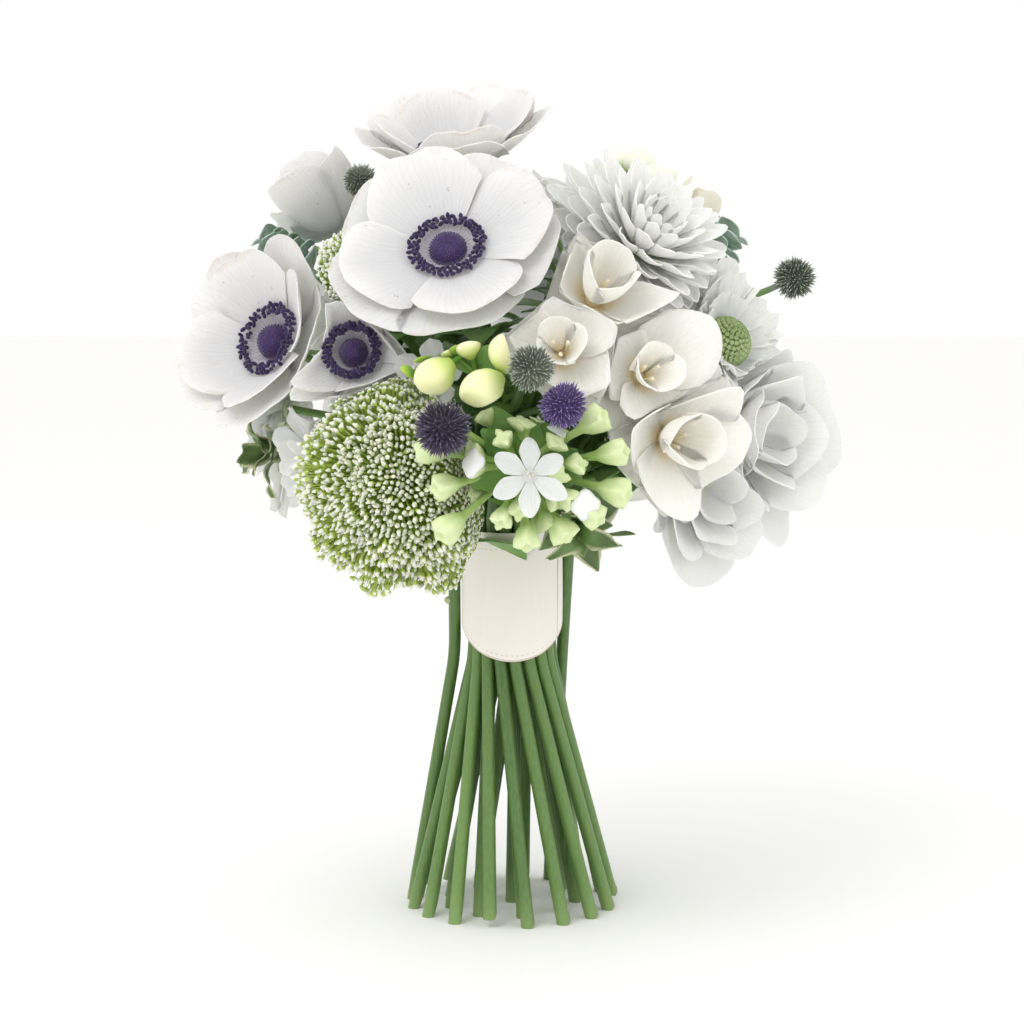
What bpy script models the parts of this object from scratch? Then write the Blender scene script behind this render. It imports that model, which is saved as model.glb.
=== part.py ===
"""Hand-tied bridesmaid bouquet that stands on its own cut stems.

Twenty-seven stems pass through a twine tie under a ribbon wrap, and fan out above it into a ball
of white anemones, dahlias, freesias, lisianthus, scabiosas, sprays and leaves. Every head keeps
to its own cell of that ball, so neighbours press against each other and never cross.

Lengths are in millimetres and become metres as a mesh is written. +Z is up, the front faces -Y.
"""

import math

import bmesh
import bpy
import numpy as np

MM = 0.001

# The ball of flowers, and the bundle that carries it
HEAD_CENTRE = np.array([0.0, 0.0, 178.0])
FLOOR_DROP = 18.0  # how far below its seat a head may reach, towards the ball's centre
WAIST_Z = 106.0  # the bundle is even above this height and flares below it
FLARE = 41.5  # depth over which its width grows by 1.4
FOOT_TURN = math.radians(30)  # how far the spiral turns from the waist to the foot
STEM_RADIUS = 2.35
NECK_RADIUS = 1.5
FORK_RADIUS = 1.2
STEM_PITCH = 5.02  # between the centres of two stems that lie together
RINGS = (1, 9, 17)  # stems in the middle, around it, and outside those
RING_TURNS = (0.0, 20.0, 0.0)  # azimuth of the first stem of each
STEM_SIDES = 6
LOW_LEVELS = (0.0, 94.0, 145.0)
HIGH_SHARES = (0.0, 0.2, 0.55, 1.0)  # corners of a stem's path to its head
FORK_SHARES = (0.0, 0.5, 1.0)
FORK_CORNER = 2
CUT_SLANT = 2.4  # height by which the trimmed side of a cut end stands off the surface
FOOT_GROWTH = 1.1  # a cut end has swollen in water
STEM_CLEARANCE = 4.9  # between the centrelines of two stems

# The wrap and its tie
WRAP_LOW, WRAP_HIGH = 94.0, 141.0
HEM_DIP = 14.0
WRAP_THICKNESS = 0.8
WRAP_STEPS = 24
SLIT_AZIMUTH = 63.0
SLIT_TOP, SLIT_CLOSED = 1.6, 0.35  # width of the slit between the ribbon's ends
TIE_LOW, TIE_HIGH = 118.0, 127.0
TIE_THICKNESS = 0.7
TIE_STEPS = 20

GAP = 0.35  # clearance between neighbouring pieces
RECEPTACLE = 1.2  # how far a bloom's receptacle reaches below and above its seat
PETAL = 0.8  # thickness of a petal
LEAF = 0.7
LEAF_ROOT = 0.3  # how far a leaf's foot stands from its twig's axis
CELL_SHARPNESS = 7.0
LIFT = 0.3  # a cell's centre stands this share of its radius above the seat

# name: kind, direction of the seat (azimuth, elevation), its distance from the ball's centre,
# radius of the cell, direction that the flower faces (azimuth, elevation).
# Azimuth 0 is the front and 90 the right.
HEADS = {
    "anemone_a": ("anemone", (-17, 41), 96, 44, (-10, 40)),
    "anemone_b": ("anemone", (-72, 20), 92, 39, (-42, 20)),
    "anemone_c": ("anemone", (-43, 20), 84, 21, (-6, 16)),
    "anemone_d": ("anemone", (-130, 74), 100, 41, (-20, 72)),
    "anemone_e": ("anemone", (-99, 49), 98, 25, (-104, 44)),
    "anemone_f": ("anemone", (168, 36), 94, 42, (172, 36)),
    "dahlia_a": ("dahlia", (42, 45), 90, 34, (42, 42)),
    "dahlia_b": ("dahlia", (-140, 22), 90, 38, (-140, 20)),
    "lisianthus_a": ("lisianthus", (72, 0), 86, 34, (48, 2)),
    "lisianthus_b": ("lisianthus", (50, -11), 85, 26, (34, -8)),
    "lisianthus_c": ("lisianthus", (128, 12), 88, 36, (128, 12)),
    "freesia_a1": ("freesia", (11, 19), 92, 21, (-4, 18)),
    "freesia_a2": ("freesia", (21, 32), 90, 23, (19, 33)),
    "freesia_b1": ("freesia", (29, 14), 92, 21, (20, 14)),
    "freesia_b2": ("freesia", (34, 1), 92, 21, (26, 0)),
    "freesia_c": ("freesia", (160, -6), 90, 26, (160, -4)),
    "scabiosa_a": ("scabiosa", (62, 21), 90, 28, (52, 22)),
    "scabiosa_b": ("scabiosa", (-106, 4), 90, 28, (-106, 4)),
    "buds_a": ("freesia_buds", (-7, 14), 96, 16, (-9, 14)),
    "buds_b": ("round_buds", (114, 60), 97, 17, (100, 66)),
    "buds_c": ("rosebud", (102, 50), 98, 14, (90, 48)),
    "bouvardia": ("bouvardia", (2, -5), 86, 27, (3, 2)),
    "trachelium_a": ("trachelium", (-28, -9), 80, 36, (-27, -8)),
    "trachelium_b": ("trachelium", (-49, 37), 92, 17, (-48, 38)),
    "trachelium_c": ("trachelium", (-165, -14), 80, 34, (-165, -12)),
    "thistle_a": ("thistle", (3, 13), 108, 11, (5, 13)),
    "thistle_b": ("purple_thistle", (8, 7), 107, 11, (8, 9)),
    "thistle_c": ("thistle", (-11, 3), 106, 13, (-12, 6)),
    "thistle_d": ("thistle", (-68, 57), 100, 9, (-50, 52)),
    "thistle_e": ("thistle", (95, 28), 110, 11, (96, 24)),
    "eucalyptus_a": ("eucalyptus", (-93, 38), 92, 23, (-93, 38)),
    "eucalyptus_b": ("eucalyptus", (108, 40), 94, 17, (100, 42)),
    "foliage_a": ("foliage", (-82, -4), 76, 28, (-78, -8)),
    "foliage_b": ("foliage", (16, -20), 70, 30, (16, -18)),
    "foliage_c": ("foliage", (100, -18), 76, 28, (98, -16)),
}

# Each plant is one stem, and carries the heads named here, its own first
PLANTS = {
    "anemone_a": ("anemone_a",),
    "anemone_b": ("anemone_b",),
    "anemone_c": ("anemone_c",),
    "anemone_d": ("anemone_d",),
    "anemone_e": ("anemone_e",),
    "anemone_f": ("anemone_f",),
    "dahlia_a": ("dahlia_a",),
    "dahlia_b": ("dahlia_b",),
    "lisianthus_a": ("lisianthus_a",),
    "lisianthus_b": ("lisianthus_b",),
    "lisianthus_c": ("lisianthus_c",),
    "freesia_a": ("freesia_a1", "freesia_a2", "buds_a"),
    "freesia_b": ("freesia_b1", "freesia_b2"),
    "freesia_c": ("freesia_c",),
    "scabiosa_a": ("scabiosa_a",),
    "scabiosa_b": ("scabiosa_b",),
    "bud_spray": ("buds_b", "buds_c"),
    "bouvardia": ("bouvardia",),
    "trachelium_a": ("trachelium_a", "thistle_c"),
    "trachelium_b": ("trachelium_b", "thistle_d"),
    "trachelium_c": ("trachelium_c",),
    "thistle_a": ("thistle_a", "thistle_b"),
    "eucalyptus_a": ("eucalyptus_a",),
    "eucalyptus_b": ("eucalyptus_b", "thistle_e"),
    "foliage_a": ("foliage_a",),
    "foliage_b": ("foliage_b",),
    "foliage_c": ("foliage_c",),
}

# Two stems were tucked in later and pass outside the wrap: their azimuths at its hem and its top
STRAYS = {
    "foliage_a": (-99, -86),
    "foliage_c": (120, 96),
}
NUB_LEVEL = 114.0  # a yellow bud on the left stray stem
SHORT_STEMS = {"lisianthus_b": 2.0, "trachelium_c": 1.5, "bouvardia": 3.0, "scabiosa_b": 2.5}

# name: petals in each whorl, their length and width, slope at the base and at the rim, height of
# the dome, size of the centre
ANEMONES = {
    "anemone_a": (4, 41, 50, 6, 30, 6.0, 1.0),
    "anemone_b": (4, 39, 48, 14, 62, 7.5, 1.0),
    "anemone_c": (4, 25, 34, 14, 60, 7.5, 0.75),
    "anemone_d": (4, 41, 50, 14, 62, 7.0, 1.0),
    "anemone_e": (4, 33, 40, 26, 80, 7.5, 0.42),
    "anemone_f": (4, 41, 50, 8, 34, 6.0, 1.0),
}
WHORL_MARGIN = 1.3  # inner whorls keep this much further from the neighbours
WHORL_INSET = 1.9  # between the whorls of a flower, so that they don't cross
HUB_DROP = 0.7  # from a flower's seat down to the foot of its first whorl
# petals, length, width, slope at the base and at the tip, radius and height of the whorl's foot,
# and how far the whorl lies inside its curve
DAHLIA_WHORLS = (
    (9, 35, 17, 0, 20, 4.6, -0.6, 0),
    (8, 30, 16, 22, 34, 4.6, 2.2, 0),
    (7, 22, 14, 42, 56, 3.8, 5.2, 0),
    (5, 14, 11, 64, 82, 3.0, 7.6, 0),
)
LISIANTHUS_WHORLS = (
    (4, 40, 50, 8, 66, 2.8, -HUB_DROP, 0),
    (4, 34, 40, 20, 80, 3.3, -HUB_DROP, 1.4),
    (4, 25, 28, 36, 94, 4.4, -HUB_DROP, 2.9),
)
FREESIA_WHORLS = ((6, 23, 30, 46, 4, 3.6, -HUB_DROP, 0),)
SCABIOSA_WHORLS = ((8, 26, 22, 0, 20, 3.4, -HUB_DROP, 0),)
FINE_ANEMONES = ("anemone_a", "anemone_b")  # these show their faces, and have finer petals
FLAT_ANEMONE = 12  # an anemone whose petals start flatter than this has a flatter centre

# The small parts of a head, which are joined into it
ANTHERS = 10
ANTHER_RING, ANTHER_STEP = 9.8, 2.6  # radius of the ring of anthers, and how far it steps in and out
BUTTON_SIDES, BUTTON_RINGS = 12, 4
BALL_WIDTH, BALL_HEIGHT = 0.94, 0.62  # of a trachelium, as shares of its cell's radius
FLORET_RISE, SPINE_RISE = 0.3, 0.45  # spikes, as shares of their ball's radius
THISTLE_SIZE = 0.72  # share of its cell's radius
TUBES, TUBE_REACH = 9, 31.0
STAR_SPOT = (1.5, -2.0, 17.0)  # foot of the open floret
SPRAY_LEAVES, TIP_LEAVES = 4, 6
ROUND_BUDS = 5
GOLDEN_TURN = 2.4  # between leaves that wind up a twig
# middle, length and width of the freesia's closed buds
FORK_BUDS = (((-14, -3, 8), 17, 14), ((3, -9, 12), 20, 16), ((12, 6, 9), 16, 14),
             ((-3, 10, 8), 13, 9), ((-11, 9, 5), 9, 7))

COLOURS = {
    "stem": (0.11, 0.27, 0.07),
    "anemone_petals": (0.86, 0.85, 0.83),
    "anemone_centre": (0.035, 0.018, 0.07),
    "dahlia": (0.88, 0.90, 0.82),
    "lisianthus": (0.90, 0.90, 0.87),
    "freesia": (0.92, 0.88, 0.76),
    "scabiosa_petals": (0.88, 0.89, 0.84),
    "scabiosa_centre": (0.42, 0.55, 0.28),
    "star": (0.92, 0.92, 0.90),
    "purple": (0.12, 0.07, 0.22),
    "rosebud": (0.92, 0.87, 0.66),
    "trachelium": (0.45, 0.58, 0.24),
    "bouvardia": (0.38, 0.55, 0.20),
    "thistle": (0.22, 0.28, 0.25),
    "eucalyptus": (0.24, 0.38, 0.36),
    "foliage": (0.23, 0.36, 0.14),
    "buds": (0.55, 0.66, 0.26),
    "wrap": (0.84, 0.78, 0.72),
    "tie": (0.45, 0.33, 0.19),
}


def direction(azimuth, elevation):
    """Unit vector for an azimuth, 0 at the front and 90 at the right, and an elevation."""
    a, e = math.radians(azimuth), math.radians(elevation)
    return np.array([math.sin(a) * math.cos(e), -math.cos(a) * math.cos(e), math.sin(e)])


def unit(v):
    return v / np.linalg.norm(v, axis=-1, keepdims=True)


def axes_for(outward):
    """Columns: a head's own right, up and outward directions."""
    side = unit(np.cross([0.0, 0.0, 1.0], outward) + [1e-9, 0.0, 0.0])
    return np.column_stack([side, np.cross(outward, side), outward])


class Place:
    """Where a head sits: its seat, its own axes and the convex cell that it keeps to."""

    def __init__(self, name):
        self.name = name
        self.kind, outward, reach, self.radius, facing = HEADS[name]
        self.outward = direction(*outward)
        self.face = direction(*facing)
        self.seat = HEAD_CENTRE + reach * self.outward
        self.middle = self.seat + LIFT * self.radius * self.face
        self.kernel = self.seat + 2.0 * self.face
        self.axes = axes_for(self.face)
        self.elevation = outward[1]
        self.azimuth = outward[0]

    def bound(self, places):
        """Keep the planes towards every neighbour, weighed by the cells' radii, and the floor."""
        normals = [-self.outward]
        offsets = [-self.outward @ self.seat + FLOOR_DROP]
        for other in places:
            if other is self:
                continue
            span = other.middle - self.middle
            length = np.linalg.norm(span)
            squares = other.middle @ other.middle - self.middle @ self.middle
            normals.append(span / length)
            offsets.append((squares - other.radius**2 + self.radius**2) / (2 * length))
        self.normals = np.array(normals)
        self.room = np.array(offsets) - self.normals @ self.kernel

    def avoid(self, points):
        """Keep clear of the foreign stems that pass through these points."""
        away = points - self.kernel
        distance = np.linalg.norm(away, axis=-1)
        near = distance < self.radius
        self.normals = np.concatenate([self.normals, away[near] / distance[near, None]])
        self.room = np.append(self.room, distance[near] - STEM_RADIUS - GAP)

    def fit(self, points, margin):
        """Draw points in towards the seat until they keep `margin` inside the cell."""
        away = points - self.kernel
        distance = np.linalg.norm(away, axis=-1, keepdims=True) + 1e-9
        slope = np.maximum((away / distance) @ self.normals.T, 1e-6)
        limit = ((self.room - margin) / slope).min(axis=-1, keepdims=True)
        squeeze = (1 + (distance / limit) ** CELL_SHARPNESS) ** (1 / CELL_SHARPNESS)
        return self.kernel + away / squeeze

    def world(self, points, margin=GAP / 2):
        """Points of the head's own frame, placed in the bouquet and kept to the cell."""
        return self.fit(self.seat + np.asarray(points) @ self.axes.T, margin)

    def blade(self, grid, thickness=PETAL):
        return blade(self.world(grid, GAP / 2 + thickness / 2), thickness)

    def turned(self, foot, axis, profile, sides, spin=0.0):
        points, faces = turned(np.asarray(foot, float), np.asarray(axis, float), profile, sides, spin)
        return self.world(points), faces


def sheet(grid, thickness):
    """Points and faces of the two sides of a sheet, split alike, with its upper indices.

    A last row that is one point repeated is a pointed tip.
    """
    rows, cols = grid.shape[0], grid.shape[1]
    across = np.gradient(grid, axis=1)
    along = np.gradient(grid, axis=0)
    if np.allclose(grid[-1], grid[-1, :1]):
        across[-1] = across[-2, cols // 2]
        along[-1] = along[-1, cols // 2]
    normal = unit(np.cross(across, along))
    points = np.concatenate([
        (grid + normal * thickness / 2).reshape(-1, 3),
        (grid - normal * thickness / 2).reshape(-1, 3),
    ])
    index = np.arange(rows * cols).reshape(rows, cols)
    a, b = index[:-1, :-1].ravel(), index[:-1, 1:].ravel()
    c, d = index[1:, 1:].ravel(), index[1:, :-1].ravel()
    upper = np.concatenate([np.stack([a, b, c], 1), np.stack([a, c, d], 1)])
    return points, np.concatenate([upper, upper[:, ::-1] + rows * cols]), index


def rim_faces(chain, below):
    """Faces down from a chain of upper indices, taken with the sheet on its left."""
    start, end = np.asarray(chain[:-1]), np.asarray(chain[1:])
    return np.concatenate([
        np.stack([end, start, start + below], 1),
        np.stack([end, start + below, end + below], 1),
    ])


def outline(index):
    """Upper indices around a sheet, from the right end of its first row to the left end."""
    return np.concatenate([index[:-1, -1], index[-1, :0:-1], index[::-1, 0]])


def blade(grid, thickness):
    """Closed solid of even thickness about a grid of points."""
    points, faces, index = sheet(grid, thickness)
    chain = np.concatenate([index[0, :-1], outline(index)])
    return weld(points, np.concatenate([faces, rim_faces(chain, index.size)]))


def bridge(low, low_turn, high, high_turn):
    """Triangles around the neck between two rings, taken in the order of their turns."""
    first = int(np.argmin(np.abs((high_turn - low_turn[0] + math.pi) % (2 * math.pi) - math.pi)))
    high, high_turn = np.roll(high, -first), np.roll(high_turn, -first)
    ahead = (high_turn[0] - low_turn[0] + math.pi) % (2 * math.pi) - math.pi
    low_turn = np.append((low_turn - low_turn[0]) % (2 * math.pi), 2 * math.pi)
    high_turn = ahead + np.append((high_turn - high_turn[0]) % (2 * math.pi), 2 * math.pi)
    faces = []
    i = j = 0
    while i < len(low) or j < len(high):
        if j == len(high) or (i < len(low) and low_turn[i + 1] <= high_turn[j + 1]):
            faces.append((low[(i + 1) % len(low)], low[i], high[j % len(high)]))
            i += 1
        else:
            faces.append((high[j], high[(j + 1) % len(high)], low[i % len(low)]))
            j += 1
    return np.array(faces)


class Bloom:
    """One closed solid that grows from its foot, ring by ring, with whorls of blades on it."""

    def __init__(self, place):
        self.place = place
        self.points, self.faces = [], []
        self.count = 0
        self.whorls = 0
        self.open_ring = None

    def add(self, points):
        first = self.count
        self.points.append(points)
        self.count += len(points)
        return first

    def grow(self, lower, turns, upper):
        """Bridge the last ring to a new one, or close the foot below the first."""
        if self.open_ring is None:
            middle = self.add(self.everything()[lower].mean(axis=0)[None, :])
            self.faces.append(np.stack([np.full(len(lower), middle), lower, np.roll(lower, -1)], 1))
        else:
            self.faces.append(bridge(*self.open_ring, lower, turns))
        self.open_ring = (upper, turns)

    def everything(self):
        return np.concatenate(self.points)

    def ring(self, middle, radius, sides=6):
        """A plain ring in the flower's own frame."""
        turns = np.arange(sides) * 2 * math.pi / sides
        circle = np.stack([np.sin(turns), np.cos(turns), np.zeros(sides)], 1)
        first = self.add(self.place.world(np.asarray(middle) + radius * circle))
        index = np.arange(first, first + sides)
        self.grow(index, turns, index)

    def whorl(self, grids, middle=(0.0, 0.0, 0.0)):
        """Blades side by side around the hub; inner whorls keep further from the neighbours."""
        margin = GAP / 2 + PETAL / 2 + WHORL_MARGIN * self.whorls
        rings, turns = [], []
        for grid in grids:
            points, flat, index = sheet(self.place.world(grid + np.asarray(middle), margin), PETAL)
            first = self.add(points)
            self.faces += [flat + first, rim_faces(outline(index), index.size) + first]
            rings.append(index[0] + first)
            turns.append(np.arctan2(grid[0, :, 0], grid[0, :, 1]))
        for left, right in zip(rings, rings[1:] + rings[:1]):
            self.faces.append(rim_faces([right[0], left[-1]], index.size))
        ring = np.concatenate(rings)
        self.grow(ring + index.size, np.concatenate(turns), ring)
        self.whorls += 1

    def close(self, tip=None):
        """Close the top, flat or to a tip, and hand over the points and faces."""
        ring = self.open_ring[0]
        if tip is None:
            tip = self.everything()[ring].mean(axis=0)
        else:
            tip = self.place.world([tip])[0]
        middle = self.add(np.asarray(tip)[None, :])
        self.faces.append(np.stack([np.full(len(ring), middle), np.roll(ring, -1), ring], 1))
        return weld(self.everything(), np.concatenate(self.faces))


def weld(points, faces):
    """Merge points that coincide and drop the faces that this closes."""
    _, first, merged = np.unique(np.round(points, 4), axis=0, return_index=True, return_inverse=True)
    faces = merged.reshape(-1)[faces]
    kept = [f for f in faces.tolist() if len(set(f)) == 3]
    return points[first], kept


def ring_faces(rings):
    """Triangles between successive rings of indices; a ring of one index is a tip."""
    faces = []
    for low, high in zip(rings, rings[1:]):
        sides = max(len(low), len(high))
        for k in range(sides):
            n = (k + 1) % sides
            if len(low) > 1:
                faces.append((low[k], low[n], high[n % len(high)]))
            if len(high) > 1:
                faces.append((low[k % len(low)], high[n], high[k]))
    for ring, forward in ((rings[0], False), (rings[-1], True)):
        for k in range(1, len(ring) - 1):
            fan = (ring[0], ring[k], ring[k + 1])
            faces.append(fan if forward else fan[::-1])
    return faces


def turned(foot, axis, profile, sides, spin=0.0):
    """Solid of revolution from (height, radius) points; a radius of 0 closes an end to a tip."""
    axes = axes_for(unit(axis))
    angle = spin + np.arange(sides) * 2 * math.pi / sides
    circle = np.stack([np.cos(angle), np.sin(angle), np.zeros(sides)], 1)
    points, rings = [], []
    for height, radius in profile:
        middle = foot + height * axes[:, 2]
        ring = middle + radius * circle @ axes.T if radius else middle[None, :]
        rings.append(list(range(len(points), len(points) + len(ring))))
        points.extend(ring)
    return np.array(points), ring_faces(rings)


def tube(path, radii, sides, *, level_rings=0, slant=0.0, end=None):
    """Solid along a path, with its first rings level and its foot trimmed on one side."""
    path = np.asarray(path)
    heading = unit(np.gradient(path, axis=0))
    heading[:level_rings] = (0.0, 0.0, 1.0)
    if end is not None:
        heading[-1] = end
    side = unit(np.cross(heading[0], [0.3, 1.0, 0.2]))
    angle = np.arange(sides) * 2 * math.pi / sides
    points, rings = [], []
    for middle, ahead, radius in zip(path, heading, radii):
        side = unit(side - ahead * (side @ ahead))
        over = np.cross(ahead, side)
        ring = middle + radius * (np.outer(np.cos(angle), side) + np.outer(np.sin(angle), over))
        rings.append(list(range(len(points), len(points) + sides)))
        points.extend(ring)
    points = np.array(points)
    points[sides // 2 + 1:sides, 2] += slant
    return points, ring_faces(rings)


def petal(rows, cols, angle, length, width, rise, curl, *, base=2.5, lift=0.0, inset=0.0,
          tip=0.2, sharp=2.2, claw=0.35, cap=3.0, channel=0.0, wave=0.0, phase=0.0, pointed=False):
    """Mid-surface of a petal in its flower's frame, as a grid from the claw to the rim.

    It leaves the axis at `base` and bends evenly from the slope `rise` to the slope `curl`, both
    in degrees above the plane of the flower, `inset` inside that curve. Its width grows from the
    claw by a sine, up to the half angle `cap`. Its sides stop short of its tip by `tip` and stand
    up by `channel`. `wave` ruffles the rim. A pointed one ends in a single point.
    """
    s = np.linspace(-1, 1, cols + 1)[None, :]
    t = np.linspace(0, 1, rows + 1)[:, None]
    along = t * (1 - tip * np.abs(s) ** sharp)
    start, end = math.radians(rise), math.radians(curl)
    slope = start + (end - start) * along
    reach = base + length * (np.sin(slope) - math.sin(start)) / (end - start)
    height = lift + length * (math.cos(start) - np.cos(slope)) / (end - start)
    reach = reach - inset * np.sin(slope)
    height = height + inset * np.cos(slope) + channel * s**2 * t
    height = height + wave * t**2 * np.sin(math.pi * 1.5 * s + phase)
    half = width / 2 * (claw + (1 - claw) * np.sin(math.pi / 2 * np.minimum(1, 1.25 * along)))
    turn = angle + s * np.minimum(cap, half / (reach + 3.0))
    grid = np.stack([reach * np.sin(turn), reach * np.cos(turn), height], -1)
    if pointed:
        grid[-1] = grid[-1, cols // 2]
    return grid


def whorl(count, rows, cols, length, width, rise, curl, *, start=0.0, rng=None, spread_by=1,
          cover=0.9, **shape):
    """Grids of one whorl's petals, with a little seeded variety away from its neighbour."""
    grids = []
    for k in range(count):
        size, bend, sway = rng.uniform(0, 1, 3)
        grids.append(petal(rows, cols, start + (2 * math.pi * k + 0.1 * sway) / count,
                           length * (0.94 + 0.1 * size), width, rise,
                           curl + 5 * spread_by * bend, cap=cover * math.pi / count, **shape))
    return grids


def anemone(place):
    """Two whorls of broad petals."""
    count, length, width, rise, curl = ANEMONES[place.name][:5]
    rng = np.random.default_rng(len(place.name) + int(place.radius))
    cols = 3 if place.name in FINE_ANEMONES else 2
    shape = dict(rng=rng, base=2.8, lift=-HUB_DROP, tip=0.14, claw=0.3)
    bloom = Bloom(place)
    bloom.whorl(whorl(count, 3, cols, length, width, rise, curl, start=0.3, spread_by=-1, **shape))
    bloom.whorl(whorl(count, 3, cols, length * 0.93, width * 0.96, rise, curl,
                      start=0.3 + math.pi / count, inset=WHORL_INSET, **shape))
    return [bloom.close()]


def anemone_centre(place):
    """Dark dome inside a ring of anthers, whose outline steps in and out between them."""
    slope, _, dome, size = ANEMONES[place.name][3:]
    foot = WHORL_INSET - HUB_DROP + PETAL / 2 + GAP
    rise = 3.4 if slope < FLAT_ANEMONE else 5.8
    turn = np.arange(2 * ANTHERS) * math.pi / ANTHERS
    out = np.tile([1.0, 0.0], ANTHERS)
    points, rings = [], []
    for height, radius, step in ((0, 1.6 / size, 0), (rise - 1.0, ANTHER_RING, ANTHER_STEP),
                                 (rise + 0.8, ANTHER_RING - 0.2, ANTHER_STEP),
                                 (rise - 0.4, 6.0, 0), (dome * 0.85, 4.6, 0)):
        reach = size * (radius + step * out)
        ring = np.stack([reach * np.sin(turn), reach * np.cos(turn),
                         np.full(len(turn), foot + height)], 1)[::-1]
        rings.append(list(range(len(points), len(points) + len(ring))))
        points.extend(ring)
    rings.append([len(points)])
    points.append((0, 0, foot + dome))
    return [(place.world(np.array(points)), ring_faces(rings))]


def layered(place, whorls, rows, cols, **shape):
    """A double bloom: whorls one inside another, each turned against the last."""
    rng = np.random.default_rng(int(place.radius) * 7 + len(place.name))
    bloom = Bloom(place)
    for level, (count, length, width, rise, curl, base, lift, inset) in enumerate(whorls):
        bloom.whorl(whorl(count, rows, cols, length, width, rise, curl, start=math.pi / count * level,
                          base=base, lift=lift, inset=inset, rng=rng,
                          spread_by=2 * (level > 0) - 1, **shape))
    return [bloom.close()]


def dahlia(place):
    return layered(place, DAHLIA_WHORLS, 2, 2, tip=0.0, claw=0.45, channel=1.8, pointed=True)


def lisianthus(place):
    return layered(place, LISIANTHUS_WHORLS, 3, 2, tip=0.16, claw=0.34)


def freesia(place):
    return layered(place, FREESIA_WHORLS, 2, 2, tip=0.22, sharp=2.0, claw=0.4,
                   cover=0.8)


def scabiosa(place):
    return layered(place, SCABIOSA_WHORLS, 2, 2, tip=0.12, claw=0.4, channel=1.5)


def scabiosa_centre(place):
    """A button of florets: a dome whose corners stand out and fall back by turns."""
    foot = np.array([0.0, 0.0, RECEPTACLE + GAP - HUB_DROP])
    profile = ((0, 6.5), (2.5, 9.2), (5.5, 8.4), (8.0, 5.4), (9.2, 0))
    points, faces = turned(foot, (0.0, 0.0, 1.0), profile, BUTTON_SIDES)
    middle = foot + (0.0, 0.0, 3.0)
    ring, side = np.divmod(np.arange(BUTTON_SIDES, BUTTON_SIDES * BUTTON_RINGS), BUTTON_SIDES)
    corners = ring * BUTTON_SIDES + side
    swell = np.where((ring + side) % 2, 1.13, 0.9)[:, None]
    points[corners] = middle + (points[corners] - middle) * swell
    return [(place.world(points), faces)]


def rosebud(place):
    """A bud of rolled petals on a small core."""
    bloom = Bloom(place)
    bloom.whorl(whorl(3, 2, 2, 20, 16, 44, 100, base=2.8, lift=-HUB_DROP, tip=0.2, claw=0.4,
                      rng=np.random.default_rng(3)))
    for height, radius in ((3.0, 3.6), (9.0, 3.8)):
        bloom.ring((0, 0, height), radius, 5)
    return [bloom.close((0, 0, 14))]


def star(place):
    """The open white floret in the middle of the bouvardia."""
    spot = np.array(STAR_SPOT)
    bloom = Bloom(place)
    bloom.ring(spot, 1.3, 5)
    bloom.whorl(whorl(6, 2, 2, 12.5, 10.0, 14, 2, base=1.8, tip=0.3, claw=0.5, pointed=True,
                      rng=np.random.default_rng(4)), spot + (0, 0, 7.0))
    return [bloom.close()]


def trachelium(place):
    """A domed head of fine florets, raised as spikes from every face of its core."""
    wide, tall = place.radius * BALL_WIDTH, place.radius * BALL_HEIGHT
    fine = 3 if place.name == "trachelium_a" else 2
    return [spiky_ball(place, (0, 0, 1.5), (wide, wide, tall), fine, FLORET_RISE, -0.25)]


def spiky_ball(place, centre, size, fine, spike, lowest=-2.0):
    """A ball whose faces above `lowest` each rise to a spike, that share of its radius high."""
    grown = bmesh.new()
    bmesh.ops.create_icosphere(grown, subdivisions=fine, radius=1.0)
    faces = [face for face in grown.faces if face.calc_center_median().z > lowest]
    bmesh.ops.poke(grown, faces=faces, offset=spike)
    grown.verts.ensure_lookup_table()
    points = np.array([vertex.co[:] for vertex in grown.verts])
    points[points[:, 2] < lowest, 2] *= 0.5
    corners = [[vertex.index for vertex in face.verts] for face in grown.faces]
    grown.free()
    return place.world(points * size + centre), corners


def thistle(place):
    """A spiky ball on the end of its stem."""
    size = THISTLE_SIZE * place.radius
    middle = 1.1 * size
    stalk = ((-3.0, NECK_RADIUS), (middle, FORK_RADIUS))
    return [place.turned((0, 0, 0), (0, 0, 1), stalk, 5),
            spiky_ball(place, (0, 0, middle), (size, size, size), 1, SPINE_RISE)]


def loose_thistle(place):
    """A spiky ball by itself, standing on the end of its stem."""
    size = THISTLE_SIZE * place.radius
    middle = size * (1 + SPINE_RISE) - RECEPTACLE
    return [spiky_ball(place, (0, 0, middle), (size, size, size), 1, SPINE_RISE)]


def leaf(place, root, heading, length, width, pointed):
    """A blade along `heading`, arched, and folded along its middle where it is pointed."""
    heading = unit(np.asarray(heading, float))
    side = unit(np.cross(heading, (0.0, 0.0, 1.0)))
    raised = np.cross(side, heading)
    t = np.linspace(0, 1, 3 if pointed else 4)[:, None]
    s = np.linspace(-1, 1, 3 if pointed else 2)[None, :]
    if pointed:
        half = width / 2 * (0.14 + 0.9 * np.sin(math.pi * t**0.8))
    else:
        half = width / 2 * (0.16 + np.sqrt(np.clip(1 - (2 * t**0.9 - 1) ** 2, 0, 1)))
    lift = 0.16 * length * np.sin(math.pi * t) + 0.12 * width * s**2 * (1 - t)
    grid = (np.asarray(root, float) + (LEAF_ROOT + length * t)[..., None] * heading
            + (half * s)[..., None] * side + lift[..., None] * raised)
    if pointed:
        grid[-1] = grid[-1, 1]
    return place.blade(grid, LEAF)


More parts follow.
